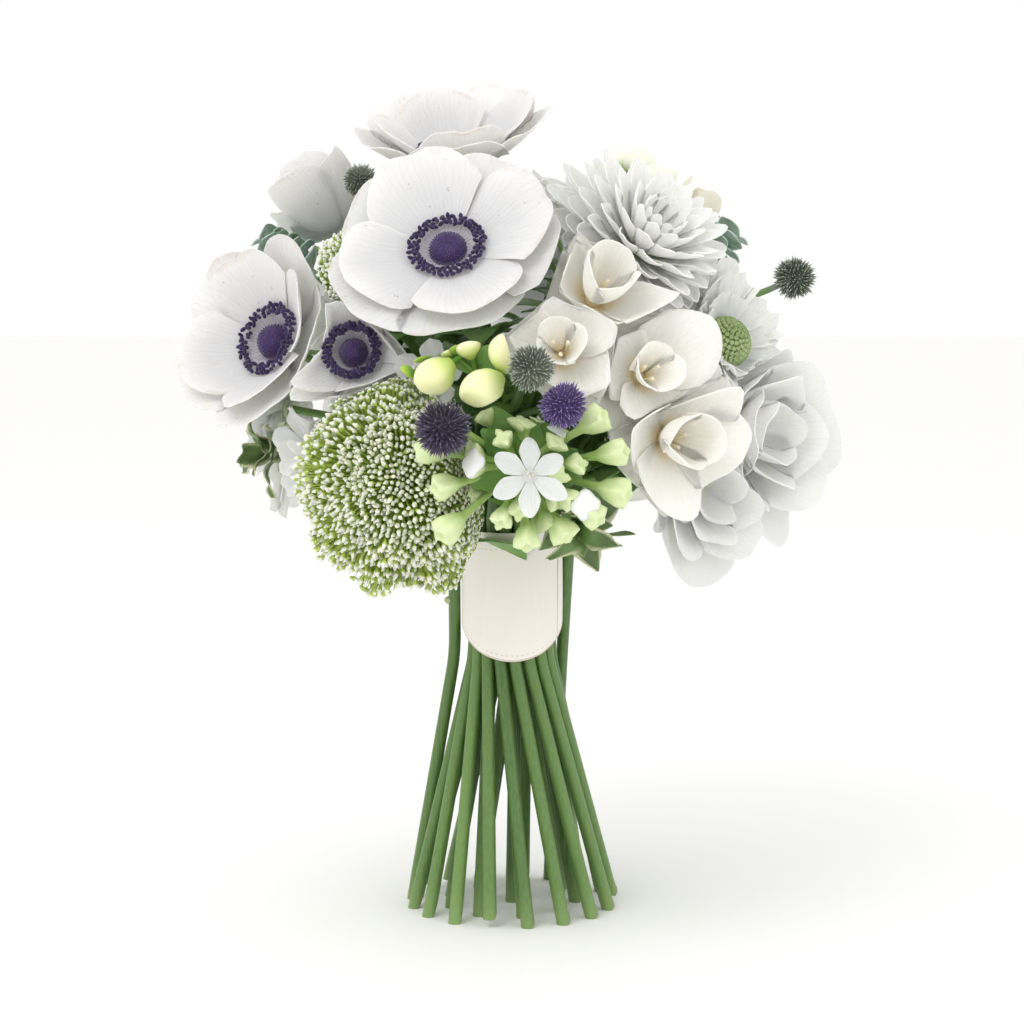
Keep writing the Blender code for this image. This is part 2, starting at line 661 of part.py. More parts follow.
def eucalyptus(place):
    """A twig with pairs of round leaves, each pair across the last."""
    reach = place.radius * 1.1
    solids = [place.turned((0, 0, -1), (0, 0, 1), ((-1.5, 1.6), (reach * 0.75, 1.1)), 4)]
    pairs = 4 if place.radius > 20 else 2
    for k in range(pairs):
        height = reach * (0.12 + 0.58 * k / (pairs - 1))
        size = 17.0 - 1.5 * k
        for turn in (1.6 * k + 0.3, 1.6 * k + 0.3 + math.pi):
            flat = (math.cos(turn), math.sin(turn), 0.4 + 0.15 * k)
            solids.append(leaf(place, (0, 0, height), flat, size, size, False))
    return solids


def foliage(place):
    """A leafy tip: long pointed leaves around a twig."""
    reach = place.radius
    solids = [place.turned((0, 0, -1), (0, 0, 1), ((-1.5, 1.8), (reach * 0.5, 1.2)), 4)]
    for k in range(TIP_LEAVES):
        turn = GOLDEN_TURN * k + 0.4
        heading = (math.cos(turn), math.sin(turn), 0.2 + 0.18 * k)
        height = reach * (0.02 + 0.085 * k)
        solids.append(leaf(place, (0, 0, height), heading, 32 - k, 17 - k, True))
    return solids


def bud(place, middle, length, width, root=(0.0, 0.0, 0.0)):
    """A closed bud on its stalk, which runs straight from `root`."""
    root = np.asarray(root)
    ahead = middle - root
    foot = np.linalg.norm(ahead) - length / 2
    profile = ((0, 1.0), (foot, 1.1), (foot + length * 0.35, width * 0.5),
               (foot + length * 0.75, width * 0.4), (foot + length, 0))
    return place.turned(root, ahead, profile, 5)


def freesia_buds(place):
    """A fork of three large buds and two small ones, with a broad leaf behind."""
    solids = [place.turned((0, 0, -2), (0, 0, 1), ((0, 1.4), (4, 1.8)), 5)]
    for k, (middle, length, width) in enumerate(FORK_BUDS):
        solids.append(bud(place, middle, length, width, root=(0.0, 0.0, 0.35 * k)))
    solids.append(leaf(place, (0, 0, 0), (0.32, 1, -0.12), 22, 12, True))
    return solids


def round_buds(place):
    """Round buds on fine stalks."""
    solids = [place.turned((0, 0, -2), (0, 0, 1), ((0, 1.3), (4, 1.6)), 4)]
    for k in range(ROUND_BUDS):
        turn = GOLDEN_TURN * k
        out = 4.5 + 2.2 * k
        middle = (out * math.cos(turn), out * math.sin(turn), 15 - 1.2 * k)
        solids.append(bud(place, middle, 11.5, 10.5))
    return solids


def bouvardia(place):
    """Tubes with square, lobed tips and small leaves, around the place of the open floret."""
    stalk = np.array(STAR_SPOT) - (0.0, 0.0, 2.0)
    profile = ((0, 1.2), (np.linalg.norm(stalk) - GAP, 1.1))
    solids = [place.turned((0, 0, -4), (0, 0, 1), ((0, 1.8), (8, 3.6), (14, 1.6)), 5),
              place.turned((0, 0, 2), stalk, profile, 4)]
    for k in range(TUBES):
        turn = 2 * math.pi * k / TUBES + 0.1
        tilt = math.radians(76 if k % 2 else 45)
        heading = (math.sin(tilt) * math.cos(turn), math.sin(tilt) * math.sin(turn), math.cos(tilt))
        span = TUBE_REACH * (0.84 if k % 2 else 0.9)
        flare = 4.8 if k % 3 == 1 else 3.8
        profile = ((0, 0.9), (span * 0.7, 1.5), (span, flare))
        solids.append(place.turned((0, 0, 1.5), heading, profile, 4, 0.7 * k))
    for k in range(SPRAY_LEAVES):
        turn = 2 * math.pi * k / SPRAY_LEAVES + 0.5
        heading = (math.cos(turn), math.sin(turn), 0.2)
        solids.append(leaf(place, (0, 0, 0), heading, 27, 12, True))
    return solids


# Pieces that a head adds to its plant's green node, and the pieces that it makes itself
GREEN = {
    "trachelium": trachelium,
    "thistle": thistle,
    "eucalyptus": eucalyptus,
    "foliage": foliage,
    "freesia_buds": freesia_buds,
    "round_buds": round_buds,
    "bouvardia": bouvardia,
}
OWN = {
    "anemone": (("petals", anemone, "anemone_petals"), ("centre", anemone_centre, "anemone_centre")),
    "dahlia": (("bloom", dahlia, "dahlia"),),
    "lisianthus": (("bloom", lisianthus, "lisianthus"),),
    "freesia": (("bloom", freesia, "freesia"),),
    "scabiosa": (("petals", scabiosa, "scabiosa_petals"),
                 ("centre", scabiosa_centre, "scabiosa_centre")),
    "purple_thistle": (("head", loose_thistle, "purple"),),
    "rosebud": (("bloom", rosebud, "rosebud"),),
    "bouvardia": (("star", star, "star"),),
}
PLANT_COLOURS = {
    "trachelium": "trachelium",
    "eucalyptus": "eucalyptus",
    "foliage": "foliage",
    "bouvardia": "bouvardia",
    "thistle": "thistle",
    "round_buds": "buds",
}


def ring_slots(count):
    """Places of a ring of stems at the waist, as azimuths and (x, y) points.

    The outer ring's stems lie side by side. Each one of the inner ring lies against the nearest
    of those.
    """
    azimuths = np.arange(count) * 360.0 / count + RING_TURNS[RINGS.index(count)]
    outer = STEM_PITCH / (2 * math.sin(math.pi / RINGS[-1]))
    step = 360.0 / RINGS[-1]
    aside = np.radians((azimuths + step / 2) % step - step / 2)
    inner = outer * np.cos(aside) - np.sqrt(STEM_PITCH**2 - (outer * np.sin(aside)) ** 2)
    radius = {RINGS[-1]: outer, 1: 0.0}.get(count, inner)
    turn = np.radians(azimuths)
    return azimuths, (radius * np.stack([np.sin(turn), -np.cos(turn)])).T


def outer_radius(z):
    """Radius around the outer ring of stems, which run straight between their levels."""
    levels = np.array(LOW_LEVELS)
    ring = STEM_PITCH / (2 * math.sin(math.pi / RINGS[-1]))
    return np.interp(z, levels, ring * growth(levels)) + STEM_RADIUS


def growth(z):
    """How much wider the bundle is at a height than at its waist."""
    return np.hypot(1.0, np.maximum(0.0, WAIST_Z - z) / FLARE)


def bundle_point(slot, z):
    """Centre of a slot at a height: the waist's pattern, grown and turned as a whole."""
    turn = FOOT_TURN * (WAIST_Z - z) / WAIST_Z
    x, y = slot * growth(z)
    c, s = math.cos(turn), math.sin(turn)
    return np.array([c * x - s * y, s * x + c * y, z])


def slots_for(places):
    """Give the highest heads the inner slots, and match each ring to its heads by azimuth."""
    order = sorted(PLANTS, key=lambda plant: -places[PLANTS[plant][0]].elevation)
    slots, first = {}, 0
    for count in RINGS:
        azimuths, points = ring_slots(count)
        members = sorted(order[first:first + count],
                         key=lambda plant: places[PLANTS[plant][0]].azimuth % 360)
        wanted = np.array([places[PLANTS[plant][0]].azimuth for plant in members])
        best = min(range(count), key=lambda shift: np.sum(
            ((np.roll(azimuths, -shift) - wanted + 180) % 360 - 180) ** 2))
        for plant, point in zip(members, np.roll(points, -best, axis=0)):
            slots[plant] = point
        first += count
    return slots


def low_path(plant, slot):
    """Centreline from the cut end up to where the head begins."""
    points = [bundle_point(slot, z) for z in LOW_LEVELS]
    if not slot.any():
        front = ring_slots(RINGS[1])[1][0]
        lean = front * (1 - STEM_PITCH / np.linalg.norm(front))
        points[1:] = [bundle_point(lean, z) for z in LOW_LEVELS[1:]]
    if plant in STRAYS:
        half = math.radians(STRAYS[plant][1] - STRAYS[plant][0]) / 2
        for level, azimuth in zip((1, 2), STRAYS[plant]):
            clear = wrap_radius(LOW_LEVELS[level]) + WRAP_THICKNESS / 2 + GAP + STEM_RADIUS
            points[level][:2] = clear / math.cos(half) * direction(azimuth, 0)[:2]
    points[0][2] = SHORT_STEMS.get(plant, 0.0)
    return np.array(points)


def bezier(points, shares):
    """Points of a cubic curve at shares of its way."""
    t = np.array(shares)[:, None]
    a, b, c, d = points
    return (1 - t) ** 3 * a + 3 * t * (1 - t) ** 2 * b + 3 * t**2 * (1 - t) * c + t**3 * d


def between(path, shares):
    """Points at even steps of a path's own corners, as weights times the corners."""
    at = np.asarray(shares) * (len(path) - 1)
    return np.maximum(0, 1 - np.abs(at[:, None] - np.arange(len(path))))


def high_path(start, ahead, place, shares):
    """Corners of a curve from `start`, heading `ahead`, to just under a head."""
    end = place.seat - (RECEPTACLE + GAP) * place.face
    arrive = unit(place.face + place.outward)
    span = np.linalg.norm(end - start)
    return bezier((start, start + 0.3 * span * ahead, end - 0.4 * span * arrive, end), shares)


def spread(paths, owners, rounds=400, samples=24):
    """Ease straight-edged paths of different plants apart, with their ends held."""
    weights = [between(path, np.linspace(0, 1, samples)) for path in paths]
    owner = np.repeat(owners, samples)
    foreign = owner[:, None] != owner[None, :]
    for _ in range(rounds):
        points = np.concatenate([w @ path for w, path in zip(weights, paths)])
        away = points[:, None] - points[None]
        distance = np.linalg.norm(away, axis=-1) + 1e-6
        push = np.where(foreign, np.clip(STEM_CLEARANCE - distance, 0, None), 0.0) / distance
        moves = np.split((away * push[..., None]).sum(axis=1), len(paths))
        for w, path, move in zip(weights, paths, moves):
            path[1:-1] += 0.5 * (w.T @ move / w.sum(axis=0)[:, None])[1:-1]
    return paths


def stem_paths(places):
    """Every plant's low centreline, and the path to each of its heads."""
    slots = slots_for(places)
    lows, paths, owners, labels = {}, [], [], []
    for index, (plant, heads) in enumerate(PLANTS.items()):
        low = lows[plant] = low_path(plant, slots[plant])
        ahead = unit(low[-1] - low[-2])
        main = high_path(low[-1], ahead, places[heads[0]], HIGH_SHARES)
        paths.append(main)
        labels.append(heads[0])
        owners += [index] * len(heads)
        fork = main[FORK_CORNER]
        ahead = unit(main[FORK_CORNER + 1] - main[FORK_CORNER])
        for head in heads[1:]:
            paths.append(high_path(fork, ahead, places[head], FORK_SHARES))
            labels.append(head)
    return lows, dict(zip(labels, spread(paths, owners)))


def keep_clear(places, highs, samples=30):
    """Draw every cell back from the stems of other plants."""
    shares = np.linspace(0, 1, samples)
    tracks = {head: between(path, shares) @ path for head, path in highs.items()}
    for heads in PLANTS.values():
        foreign = np.concatenate([track for head, track in tracks.items() if head not in heads])
        for head in heads:
            places[head].avoid(foreign)


def stem_solids(plant, lows, highs, places):
    """The stem's own tube and those of its forks."""
    heads = PLANTS[plant]
    low, main = lows[plant], highs[heads[0]]
    path = np.concatenate([low, main[1:]])
    radii = [STEM_RADIUS * FOOT_GROWTH] + [STEM_RADIUS] * 3 + [2.0, NECK_RADIUS]
    slant = 0.0 if np.hypot(*low[0][:2]) < 1.0 else CUT_SLANT
    solids = [tube(path, radii, STEM_SIDES, level_rings=len(low), slant=slant,
                   end=places[heads[0]].face)]
    for head in heads[1:]:
        branch = highs[head].copy()
        branch[0] = main[FORK_CORNER]
        solids.append(tube(branch, [FORK_RADIUS] * len(branch), 4, end=places[head].face))
    if plant == "foliage_a":
        solids.append(nub(low))
    return solids


def nub(low):
    """The small bud on the left stray stem."""
    share = (NUB_LEVEL - low[1][2]) / (low[2][2] - low[1][2])
    spot = low[1] + share * (low[2] - low[1])
    out = direction(-80, 0)
    return turned(spot, out, ((0, 1.0), (2.0, 1.5), (3.4, 1.2), (4.2, 0)), 6)


def wrap_radius(z):
    """Radius of the middle of the ribbon, clear of the outer stems and of the tie's corners."""
    waist = (outer_radius(TIE_LOW) + GAP / 2 + TIE_THICKNESS) / math.cos(math.pi / TIE_STEPS)
    inside = np.maximum(outer_radius(z), waist) + GAP
    return (inside + WRAP_THICKNESS / 2) / math.cos(math.pi / WRAP_STEPS)


def wrap():
    """Ribbon wound once, with rounded hems at the front and back and a slit between its ends."""
    level = np.linspace(0, 1, 3)[:, None]
    turn = np.linspace(0, 1, WRAP_STEPS + 1)[None, :]
    azimuth = math.radians(SLIT_AZIMUTH) + 2 * math.pi * turn
    low = WRAP_LOW + HEM_DIP * (1 - np.sqrt(np.cos(azimuth) ** 2 + 0.02))
    z = low + (WRAP_HIGH - low) * level
    radius = wrap_radius(z)
    width = SLIT_CLOSED + (SLIT_TOP - SLIT_CLOSED) * level**2
    azimuth = azimuth + (0.5 - turn) * width / radius
    return blade(np.stack([radius * np.sin(azimuth), -radius * np.cos(azimuth), z], -1),
                 WRAP_THICKNESS)


def tie():
    """The band that binds the stems, under the wrap."""
    inner = outer_radius(TIE_LOW) + GAP / 2
    angle = np.arange(TIE_STEPS) * 2 * math.pi / TIE_STEPS
    circle = np.stack([np.cos(angle), np.sin(angle)], 1)
    points = []
    corners = ((inner, TIE_LOW), (inner + TIE_THICKNESS, TIE_LOW),
               (inner + TIE_THICKNESS, TIE_HIGH), (inner, TIE_HIGH))
    for radius, z in corners:
        points += [(*(radius * spot / math.cos(math.pi / TIE_STEPS)), z) for spot in circle]
    faces = []
    for corner in range(4):
        a, b = corner * TIE_STEPS, (corner + 1) % 4 * TIE_STEPS
        for k in range(TIE_STEPS):
            n = (k + 1) % TIE_STEPS
            faces += [(a + k, a + n, b + n), (a + k, b + n, b + k)]
    return np.array(points), faces


def material(colour, roughness=0.6):
    """The Principled material of one colour, made once."""
    found = bpy.data.materials.get(colour)
    if found:
        return found
    made = bpy.data.materials.new(colour)
    made.use_nodes = True
    shader = made.node_tree.nodes["Principled BSDF"]
    shader.inputs["Base Color"].default_value = (*COLOURS[colour], 1.0)
    shader.inputs["Roughness"].default_value = roughness
    made.diffuse_color = (*COLOURS[colour], 1.0)
    return made


def mesh_object(name, solid):
    points, faces = solid
    mesh = bpy.data.meshes.new(name)
    mesh.from_pydata((np.asarray(points) * MM).tolist(), [], [list(map(int, face)) for face in faces])
    mesh.update()
    return bpy.data.objects.new(name, mesh)


def drop_scraps(mesh):
    """Keep a mesh's largest body: joining leaves slivers, and shells around sealed hollows."""
    grown = bmesh.new()
    grown.from_mesh(mesh)
    bodies, left = [], set(grown.faces)
    while left:
        body, edge = set(), [left.pop()]
        while edge:
            face = edge.pop()
            body.add(face)
            for line in face.edges:
                found = [other for other in line.link_faces if other in left]
                left.difference_update(found)
                edge.extend(found)
        bodies.append(body)
    bodies.sort(key=len)
    scraps = [face for body in bodies[:-1] for face in body]
    bmesh.ops.delete(grown, geom=scraps, context="FACES")
    grown.to_mesh(mesh)
    grown.free()


def piece(name, solids, colour):
    """One named object: the first solid with all the others joined to it by one Boolean."""
    body = mesh_object(name, solids[0])
    body.data.materials.append(material(colour))
    bpy.context.scene.collection.objects.link(body)
    if len(solids) > 1:
        extras = bpy.data.collections.new(name + "_extras")
        bpy.context.scene.collection.children.link(extras)
        for index, solid in enumerate(solids[1:]):
            extras.objects.link(mesh_object(f"{name}_extra_{index}", solid))
        join = body.modifiers.new("Join", "BOOLEAN")
        join.operation = "UNION"
        join.operand_type = "COLLECTION"
        join.collection = extras
        join.solver = "EXACT"
        bpy.context.view_layer.objects.active = body
        bpy.ops.object.modifier_apply(modifier=join.name)
        for extra in list(extras.objects):
            bpy.data.objects.remove(extra, do_unlink=True)
        bpy.data.collections.remove(extras)
        drop_scraps(body.data)
    return body


def build():
    for old in list(bpy.data.objects):
        bpy.data.objects.remove(old, do_unlink=True)
    places = {name: Place(name) for name in HEADS}
    for place in places.values():
        place.bound(places.values())
    lows, highs = stem_paths(places)
    keep_clear(places, highs)
    for plant, heads in PLANTS.items():
        solids = stem_solids(plant, lows, highs, places)
        for head in heads:
            kind = places[head].kind
            if kind in GREEN:
                solids += GREEN[kind](places[head])
        colour = PLANT_COLOURS.get(places[heads[0]].kind, "stem")
        piece(plant + "_stem", solids, colour)
    for name, place in places.items():
        for suffix, make, colour in OWN.get(place.kind, ()):
            piece(f"{name}_{suffix}", make(place), colour)
    piece("wrap", [wrap()], "wrap")
    piece("tie", [tie()], "tie")


build()
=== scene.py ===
# %% [markdown]
# A hand-tied bridesmaid bouquet
#
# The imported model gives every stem, flower, spray, the wrap and the tie as plain solids. This
# lesson dresses each of them: petals with ruffles and veins, stamens, florets, spines, round
# glossy stems and a stitched ribbon. Nothing here changes a size or a place.

# %% Load the frame
import math

import bpy
import numpy as np
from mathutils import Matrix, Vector


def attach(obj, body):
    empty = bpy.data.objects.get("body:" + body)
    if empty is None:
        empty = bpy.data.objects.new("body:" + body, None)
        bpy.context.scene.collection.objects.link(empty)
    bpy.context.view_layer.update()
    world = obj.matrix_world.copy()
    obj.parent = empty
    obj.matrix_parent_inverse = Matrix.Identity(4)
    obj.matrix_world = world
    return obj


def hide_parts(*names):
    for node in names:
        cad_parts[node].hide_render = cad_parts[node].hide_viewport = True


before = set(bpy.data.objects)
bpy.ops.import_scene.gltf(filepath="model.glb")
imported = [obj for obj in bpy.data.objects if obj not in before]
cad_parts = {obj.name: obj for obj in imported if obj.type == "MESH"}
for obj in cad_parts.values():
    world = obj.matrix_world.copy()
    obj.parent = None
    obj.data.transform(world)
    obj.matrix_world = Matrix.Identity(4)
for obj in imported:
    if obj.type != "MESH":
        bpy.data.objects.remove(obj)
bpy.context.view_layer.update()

# %% [markdown]
# Camera, light and floor
#
# The photograph looks almost level at the bouquet, from a long way off, so a long lens at about
# six degrees above the horizon gives the same view. A white room is imitated with a bright even
# sky and two large lamps, because white petals only read as petals when light comes from all
# round and still leaves a soft shadow between them.

# %% Camera
AIM = np.array([0.0, 0.0, 0.147])
FRAME_WIDTH, LENS, SENSOR = 0.379, 85.0, 36.0
CAMERA_RISE = math.radians(5.5)

distance = FRAME_WIDTH * LENS / SENSOR
camera = bpy.data.objects.new("camera", bpy.data.cameras.new("camera"))
bpy.context.scene.collection.objects.link(camera)
camera.data.lens = LENS
camera.data.sensor_width = SENSOR
camera.location = AIM + distance * np.array([0.0, -math.cos(CAMERA_RISE), math.sin(CAMERA_RISE)])
camera.rotation_euler = (math.pi / 2 - CAMERA_RISE, 0.0, 0.0)
bpy.context.scene.camera = camera
print("camera", round(distance, 3), "m from the bouquet")

# %% [markdown]
# Light and floor
#
# A studio could be built from walls and many lamps. One bright even sky does the same with less
# noise, and two lamps in front give the petals a light side and a shaded side. The camera is shown
# plain white instead of the sky. The floor is only a stage and is not part of the bouquet.

# %% Sky, lamps and floor
sky = bpy.data.worlds.new("white room")
sky.use_nodes = True
lit = sky.node_tree.nodes["Background"]
lit.inputs["Color"].default_value = (1.0, 0.995, 0.985, 1.0)
lit.inputs["Strength"].default_value = 1.0
seen = sky.node_tree.nodes.new("ShaderNodeBackground")
seen.inputs["Color"].default_value = (1.0, 1.0, 1.0, 1.0)
choice = sky.node_tree.nodes.new("ShaderNodeMixShader")
ray = sky.node_tree.nodes.new("ShaderNodeLightPath")
sky.node_tree.links.new(ray.outputs["Is Camera Ray"], choice.inputs[0])
sky.node_tree.links.new(lit.outputs[0], choice.inputs[1])
sky.node_tree.links.new(seen.outputs[0], choice.inputs[2])
sky.node_tree.links.new(choice.outputs[0], sky.node_tree.nodes["World Output"].inputs["Surface"])
bpy.context.scene.world = sky
bpy.context.scene.view_settings.view_transform = "Standard"
bpy.context.scene.view_settings.look = "None"


LAMP_AIM = (0.0, 0.0, 0.19)


def lamp(name, place, size, power, colour):
    """A square lamp at `place`, turned so that its back points away from the flowers."""
    made = bpy.data.objects.new(name, bpy.data.lights.new(name, "AREA"))
    made.data.size, made.data.energy, made.data.color = size, power, colour
    made.location = place
    back = (made.location - Vector(LAMP_AIM)).normalized()
    made.rotation_euler = back.to_track_quat("Z", "Y").to_euler()
    bpy.context.scene.collection.objects.link(made)


lamp("window", (-0.55, -0.8, 1.15), 0.8, 6.0, (1.0, 0.985, 0.96))
lamp("bounce", (0.95, -0.8, 0.4), 0.9, 1.5, (1.0, 0.995, 0.99))

FLOOR = 9.0
floor_mesh = bpy.data.meshes.new("floor")
corners = [(x * FLOOR, y * FLOOR, 0) for x, y in ((-1, -1), (1, -1), (1, 1), (-1, 1))]
floor_mesh.from_pydata(corners, [], [(0, 1, 2, 3)])
floor = bpy.data.objects.new("floor", floor_mesh)
bpy.context.scene.collection.objects.link(floor)
paint = bpy.data.materials.new("floor paint")
paint.use_nodes = True
paint.node_tree.nodes["Principled BSDF"].inputs["Base Color"].default_value = (0.985, 0.985, 0.98, 1.0)
paint.node_tree.nodes["Principled BSDF"].inputs["Roughness"].default_value = 0.7
floor_mesh.materials.append(paint)
print("lamps and floor are in place")

# %% [markdown]
# Where everything is
#
# A hand-tied bouquet is a ball of flower heads on one spiral bundle of stems. The solids were
# laid out by a short table, and the same table is repeated here, so that a fine petal lies
# exactly where its plain one does. Lengths are in millimetres until a mesh is written.

# %% The table of heads
MM = 0.001
HEAD_CENTRE = np.array([0.0, 0.0, 178.0])
GAP, RECEPTACLE, HUB_DROP = 0.35, 1.2, 0.7
CELL_SHARPNESS, LIFT, FLOOR_DROP = 7.0, 0.3, 18.0
GOLDEN = 2.39996

# name: azimuth and elevation of its seat, distance from the ball's centre, radius of its cell,
# azimuth and elevation that it faces
HEADS = {
    "anemone_a": ((-17, 41), 96, 44, (-10, 40)),
    "anemone_b": ((-72, 20), 92, 39, (-42, 20)),
    "anemone_c": ((-43, 20), 84, 21, (-6, 16)),
    "anemone_d": ((-130, 74), 100, 41, (-20, 72)),
    "anemone_e": ((-99, 49), 98, 25, (-104, 44)),
    "anemone_f": ((168, 36), 94, 42, (172, 36)),
    "dahlia_a": ((42, 45), 90, 34, (42, 42)),
    "dahlia_b": ((-140, 22), 90, 38, (-140, 20)),
    "lisianthus_a": ((72, 0), 86, 34, (48, 2)),
    "lisianthus_b": ((50, -11), 85, 26, (34, -8)),
    "lisianthus_c": ((128, 12), 88, 36, (128, 12)),
    "freesia_a1": ((11, 19), 92, 21, (-4, 18)),
    "freesia_a2": ((21, 32), 90, 23, (19, 33)),
    "freesia_b1": ((29, 14), 92, 21, (20, 14)),
    "freesia_b2": ((34, 1), 92, 21, (26, 0)),
    "freesia_c": ((160, -6), 90, 26, (160, -4)),
    "scabiosa_a": ((62, 21), 90, 28, (52, 22)),
    "scabiosa_b": ((-106, 4), 90, 28, (-106, 4)),
    "buds_a": ((-7, 14), 96, 16, (-9, 14)),
    "buds_b": ((114, 60), 97, 17, (100, 66)),
    "buds_c": ((102, 50), 98, 14, (90, 48)),
    "bouvardia": ((2, -5), 86, 27, (3, 2)),
    "trachelium_a": ((-28, -9), 80, 36, (-27, -8)),
    "trachelium_b": ((-49, 37), 92, 17, (-48, 38)),
    "trachelium_c": ((-165, -14), 80, 34, (-165, -12)),
    "thistle_a": ((3, 13), 108, 11, (5, 13)),
    "thistle_b": ((8, 7), 107, 11, (8, 9)),
    "thistle_c": ((-11, 3), 106, 13, (-12, 6)),
    "thistle_d": ((-68, 57), 100, 9, (-50, 52)),
    "thistle_e": ((95, 28), 110, 11, (96, 24)),
    "eucalyptus_a": ((-93, 38), 92, 23, (-93, 38)),
    "eucalyptus_b": ((108, 40), 94, 17, (100, 42)),
    "foliage_a": ((-82, -4), 76, 28, (-78, -8)),
    "foliage_b": ((16, -20), 70, 30, (16, -18)),
    "foliage_c": ((100, -18), 76, 28, (98, -16)),
}
PLANTS = {
    "anemone_a": ("anemone_a",), "anemone_b": ("anemone_b",), "anemone_c": ("anemone_c",),
    "anemone_d": ("anemone_d",), "anemone_e": ("anemone_e",), "anemone_f": ("anemone_f",),
    "dahlia_a": ("dahlia_a",), "dahlia_b": ("dahlia_b",),
    "lisianthus_a": ("lisianthus_a",), "lisianthus_b": ("lisianthus_b",),
    "lisianthus_c": ("lisianthus_c",),
    "freesia_a": ("freesia_a1", "freesia_a2", "buds_a"),
    "freesia_b": ("freesia_b1", "freesia_b2"), "freesia_c": ("freesia_c",),
    "scabiosa_a": ("scabiosa_a",), "scabiosa_b": ("scabiosa_b",),
    "bud_spray": ("buds_b", "buds_c"), "bouvardia": ("bouvardia",),
    "trachelium_a": ("trachelium_a", "thistle_c"), "trachelium_b": ("trachelium_b", "thistle_d"),
    "trachelium_c": ("trachelium_c",), "thistle_a": ("thistle_a", "thistle_b"),
    "eucalyptus_a": ("eucalyptus_a",), "eucalyptus_b": ("eucalyptus_b", "thistle_e"),
    "foliage_a": ("foliage_a",), "foliage_b": ("foliage_b",), "foliage_c": ("foliage_c",),
}
STRAYS = {"foliage_a": (-99, -86), "foliage_c": (120, 96)}
SHORT_STEMS = {"lisianthus_b": 2.0, "trachelium_c": 1.5, "bouvardia": 3.0, "scabiosa_b": 2.5}
print(len(HEADS), "heads on", len(PLANTS), "stems")


# %% [markdown]
# Directions on the ball
#
# Every seat on the ball is given as on a globe, by an azimuth and an elevation. Three helpers turn
# such a pair into a vector, and build a head's own axes from the way that it faces. Empties could
# hold these axes, but arrays can be used on thousands of points at once.

# %% Directions
def direction(azimuth, elevation):
    """Unit vector for an azimuth, 0 at the front and 90 at the right, and an elevation."""
    a, e = np.radians(azimuth), np.radians(elevation)
    return np.array([np.sin(a) * np.cos(e), -np.cos(a) * np.cos(e), np.sin(e)])


def unit(v):
    """Every vector divided by its own length."""
    return v / (np.linalg.norm(v, axis=-1, keepdims=True) + 1e-12)


def axes_for(outward):
    """Columns: a head's own right, up and outward directions."""
    side = unit(np.cross([0.0, 0.0, 1.0], outward) + [1e-9, 0.0, 0.0])
    return np.column_stack([side, np.cross(outward, side), outward])


print("the front is at", direction(0, 0).round(3), "and the top at", direction(0, 90).round(3))


# %% [markdown]
# Places and cells
#
# Flowers in a bunch press against each other. Each head keeps to its own cell: the planes halfway
# to its neighbours, a floor towards the middle of the ball, and a plane for each stem that passes.
# A point that would leave the cell is drawn back along its line to the seat, more and more firmly
# as it nears the wall, so a petal flattens there instead of crossing the next flower.

# %% Places
class Place:
    """Where a head sits: its seat, its axes and the cell that it keeps to."""

    def __init__(self, name):
        """Read the head's row and work out its seat, its axes and the point that cells start from."""
        outward, reach, self.radius, facing = HEADS[name]
        self.azimuth, self.elevation = outward
        self.outward, self.face = direction(*outward), direction(*facing)
        self.seat = HEAD_CENTRE + reach * self.outward
        self.middle = self.seat + LIFT * self.radius * self.face
        self.kernel = self.seat + 2.0 * self.face
        self.axes = axes_for(self.face)

    def bound(self, places):
        """Planes towards the neighbours, weighed by radius, and the floor."""
        others = [other for other in places if other is not self]
        middles = np.array([other.middle for other in others])
        radii = np.array([other.radius for other in others])
        span = middles - self.middle
        length = np.linalg.norm(span, axis=1)
        squares = (middles**2).sum(axis=1) - self.middle @ self.middle
        normals = np.concatenate([[-self.outward], span / length[:, None]])
        offsets = np.concatenate([[FLOOR_DROP - self.outward @ self.seat],
                                  (squares - radii**2 + self.radius**2) / (2 * length)])
        self.normals = normals
        self.room = offsets - normals @ self.kernel

    def avoid(self, points):
        """A plane before each of the foreign stems' points that lie near."""
        away = points - self.kernel
        span = np.linalg.norm(away, axis=-1)
        near = span < self.radius
        self.normals = np.concatenate([self.normals, away[near] / span[near, None]])
        self.room = np.append(self.room, span[near] - STEM_RADIUS - GAP)

    def world(self, points, margin=GAP / 2):
        """Points of the head's own frame, drawn in so that they keep `margin` inside the cell."""
        spots = self.seat + np.asarray(points, float) @ self.axes.T
        away = spots - self.kernel
        span = np.linalg.norm(away, axis=-1, keepdims=True) + 1e-9
        slope = np.maximum((away / span) @ self.normals.T, 1e-6)
        limit = ((self.room - margin) / slope).min(axis=-1, keepdims=True)
        return self.kernel + away / (1 + (span / limit) ** CELL_SHARPNESS) ** (1 / CELL_SHARPNESS)


print("flowers keep", GAP, "mm apart")


# %% [markdown]
# The bundle of stems
#
# The florist lays each stem at the same slant, so the bundle is a spiral: one in the middle, nine
# around it and seventeen outside. Below the tie the whole pattern turns and spreads. Above it each
# stem curves to its own flower, and stems that come too near are eased apart.

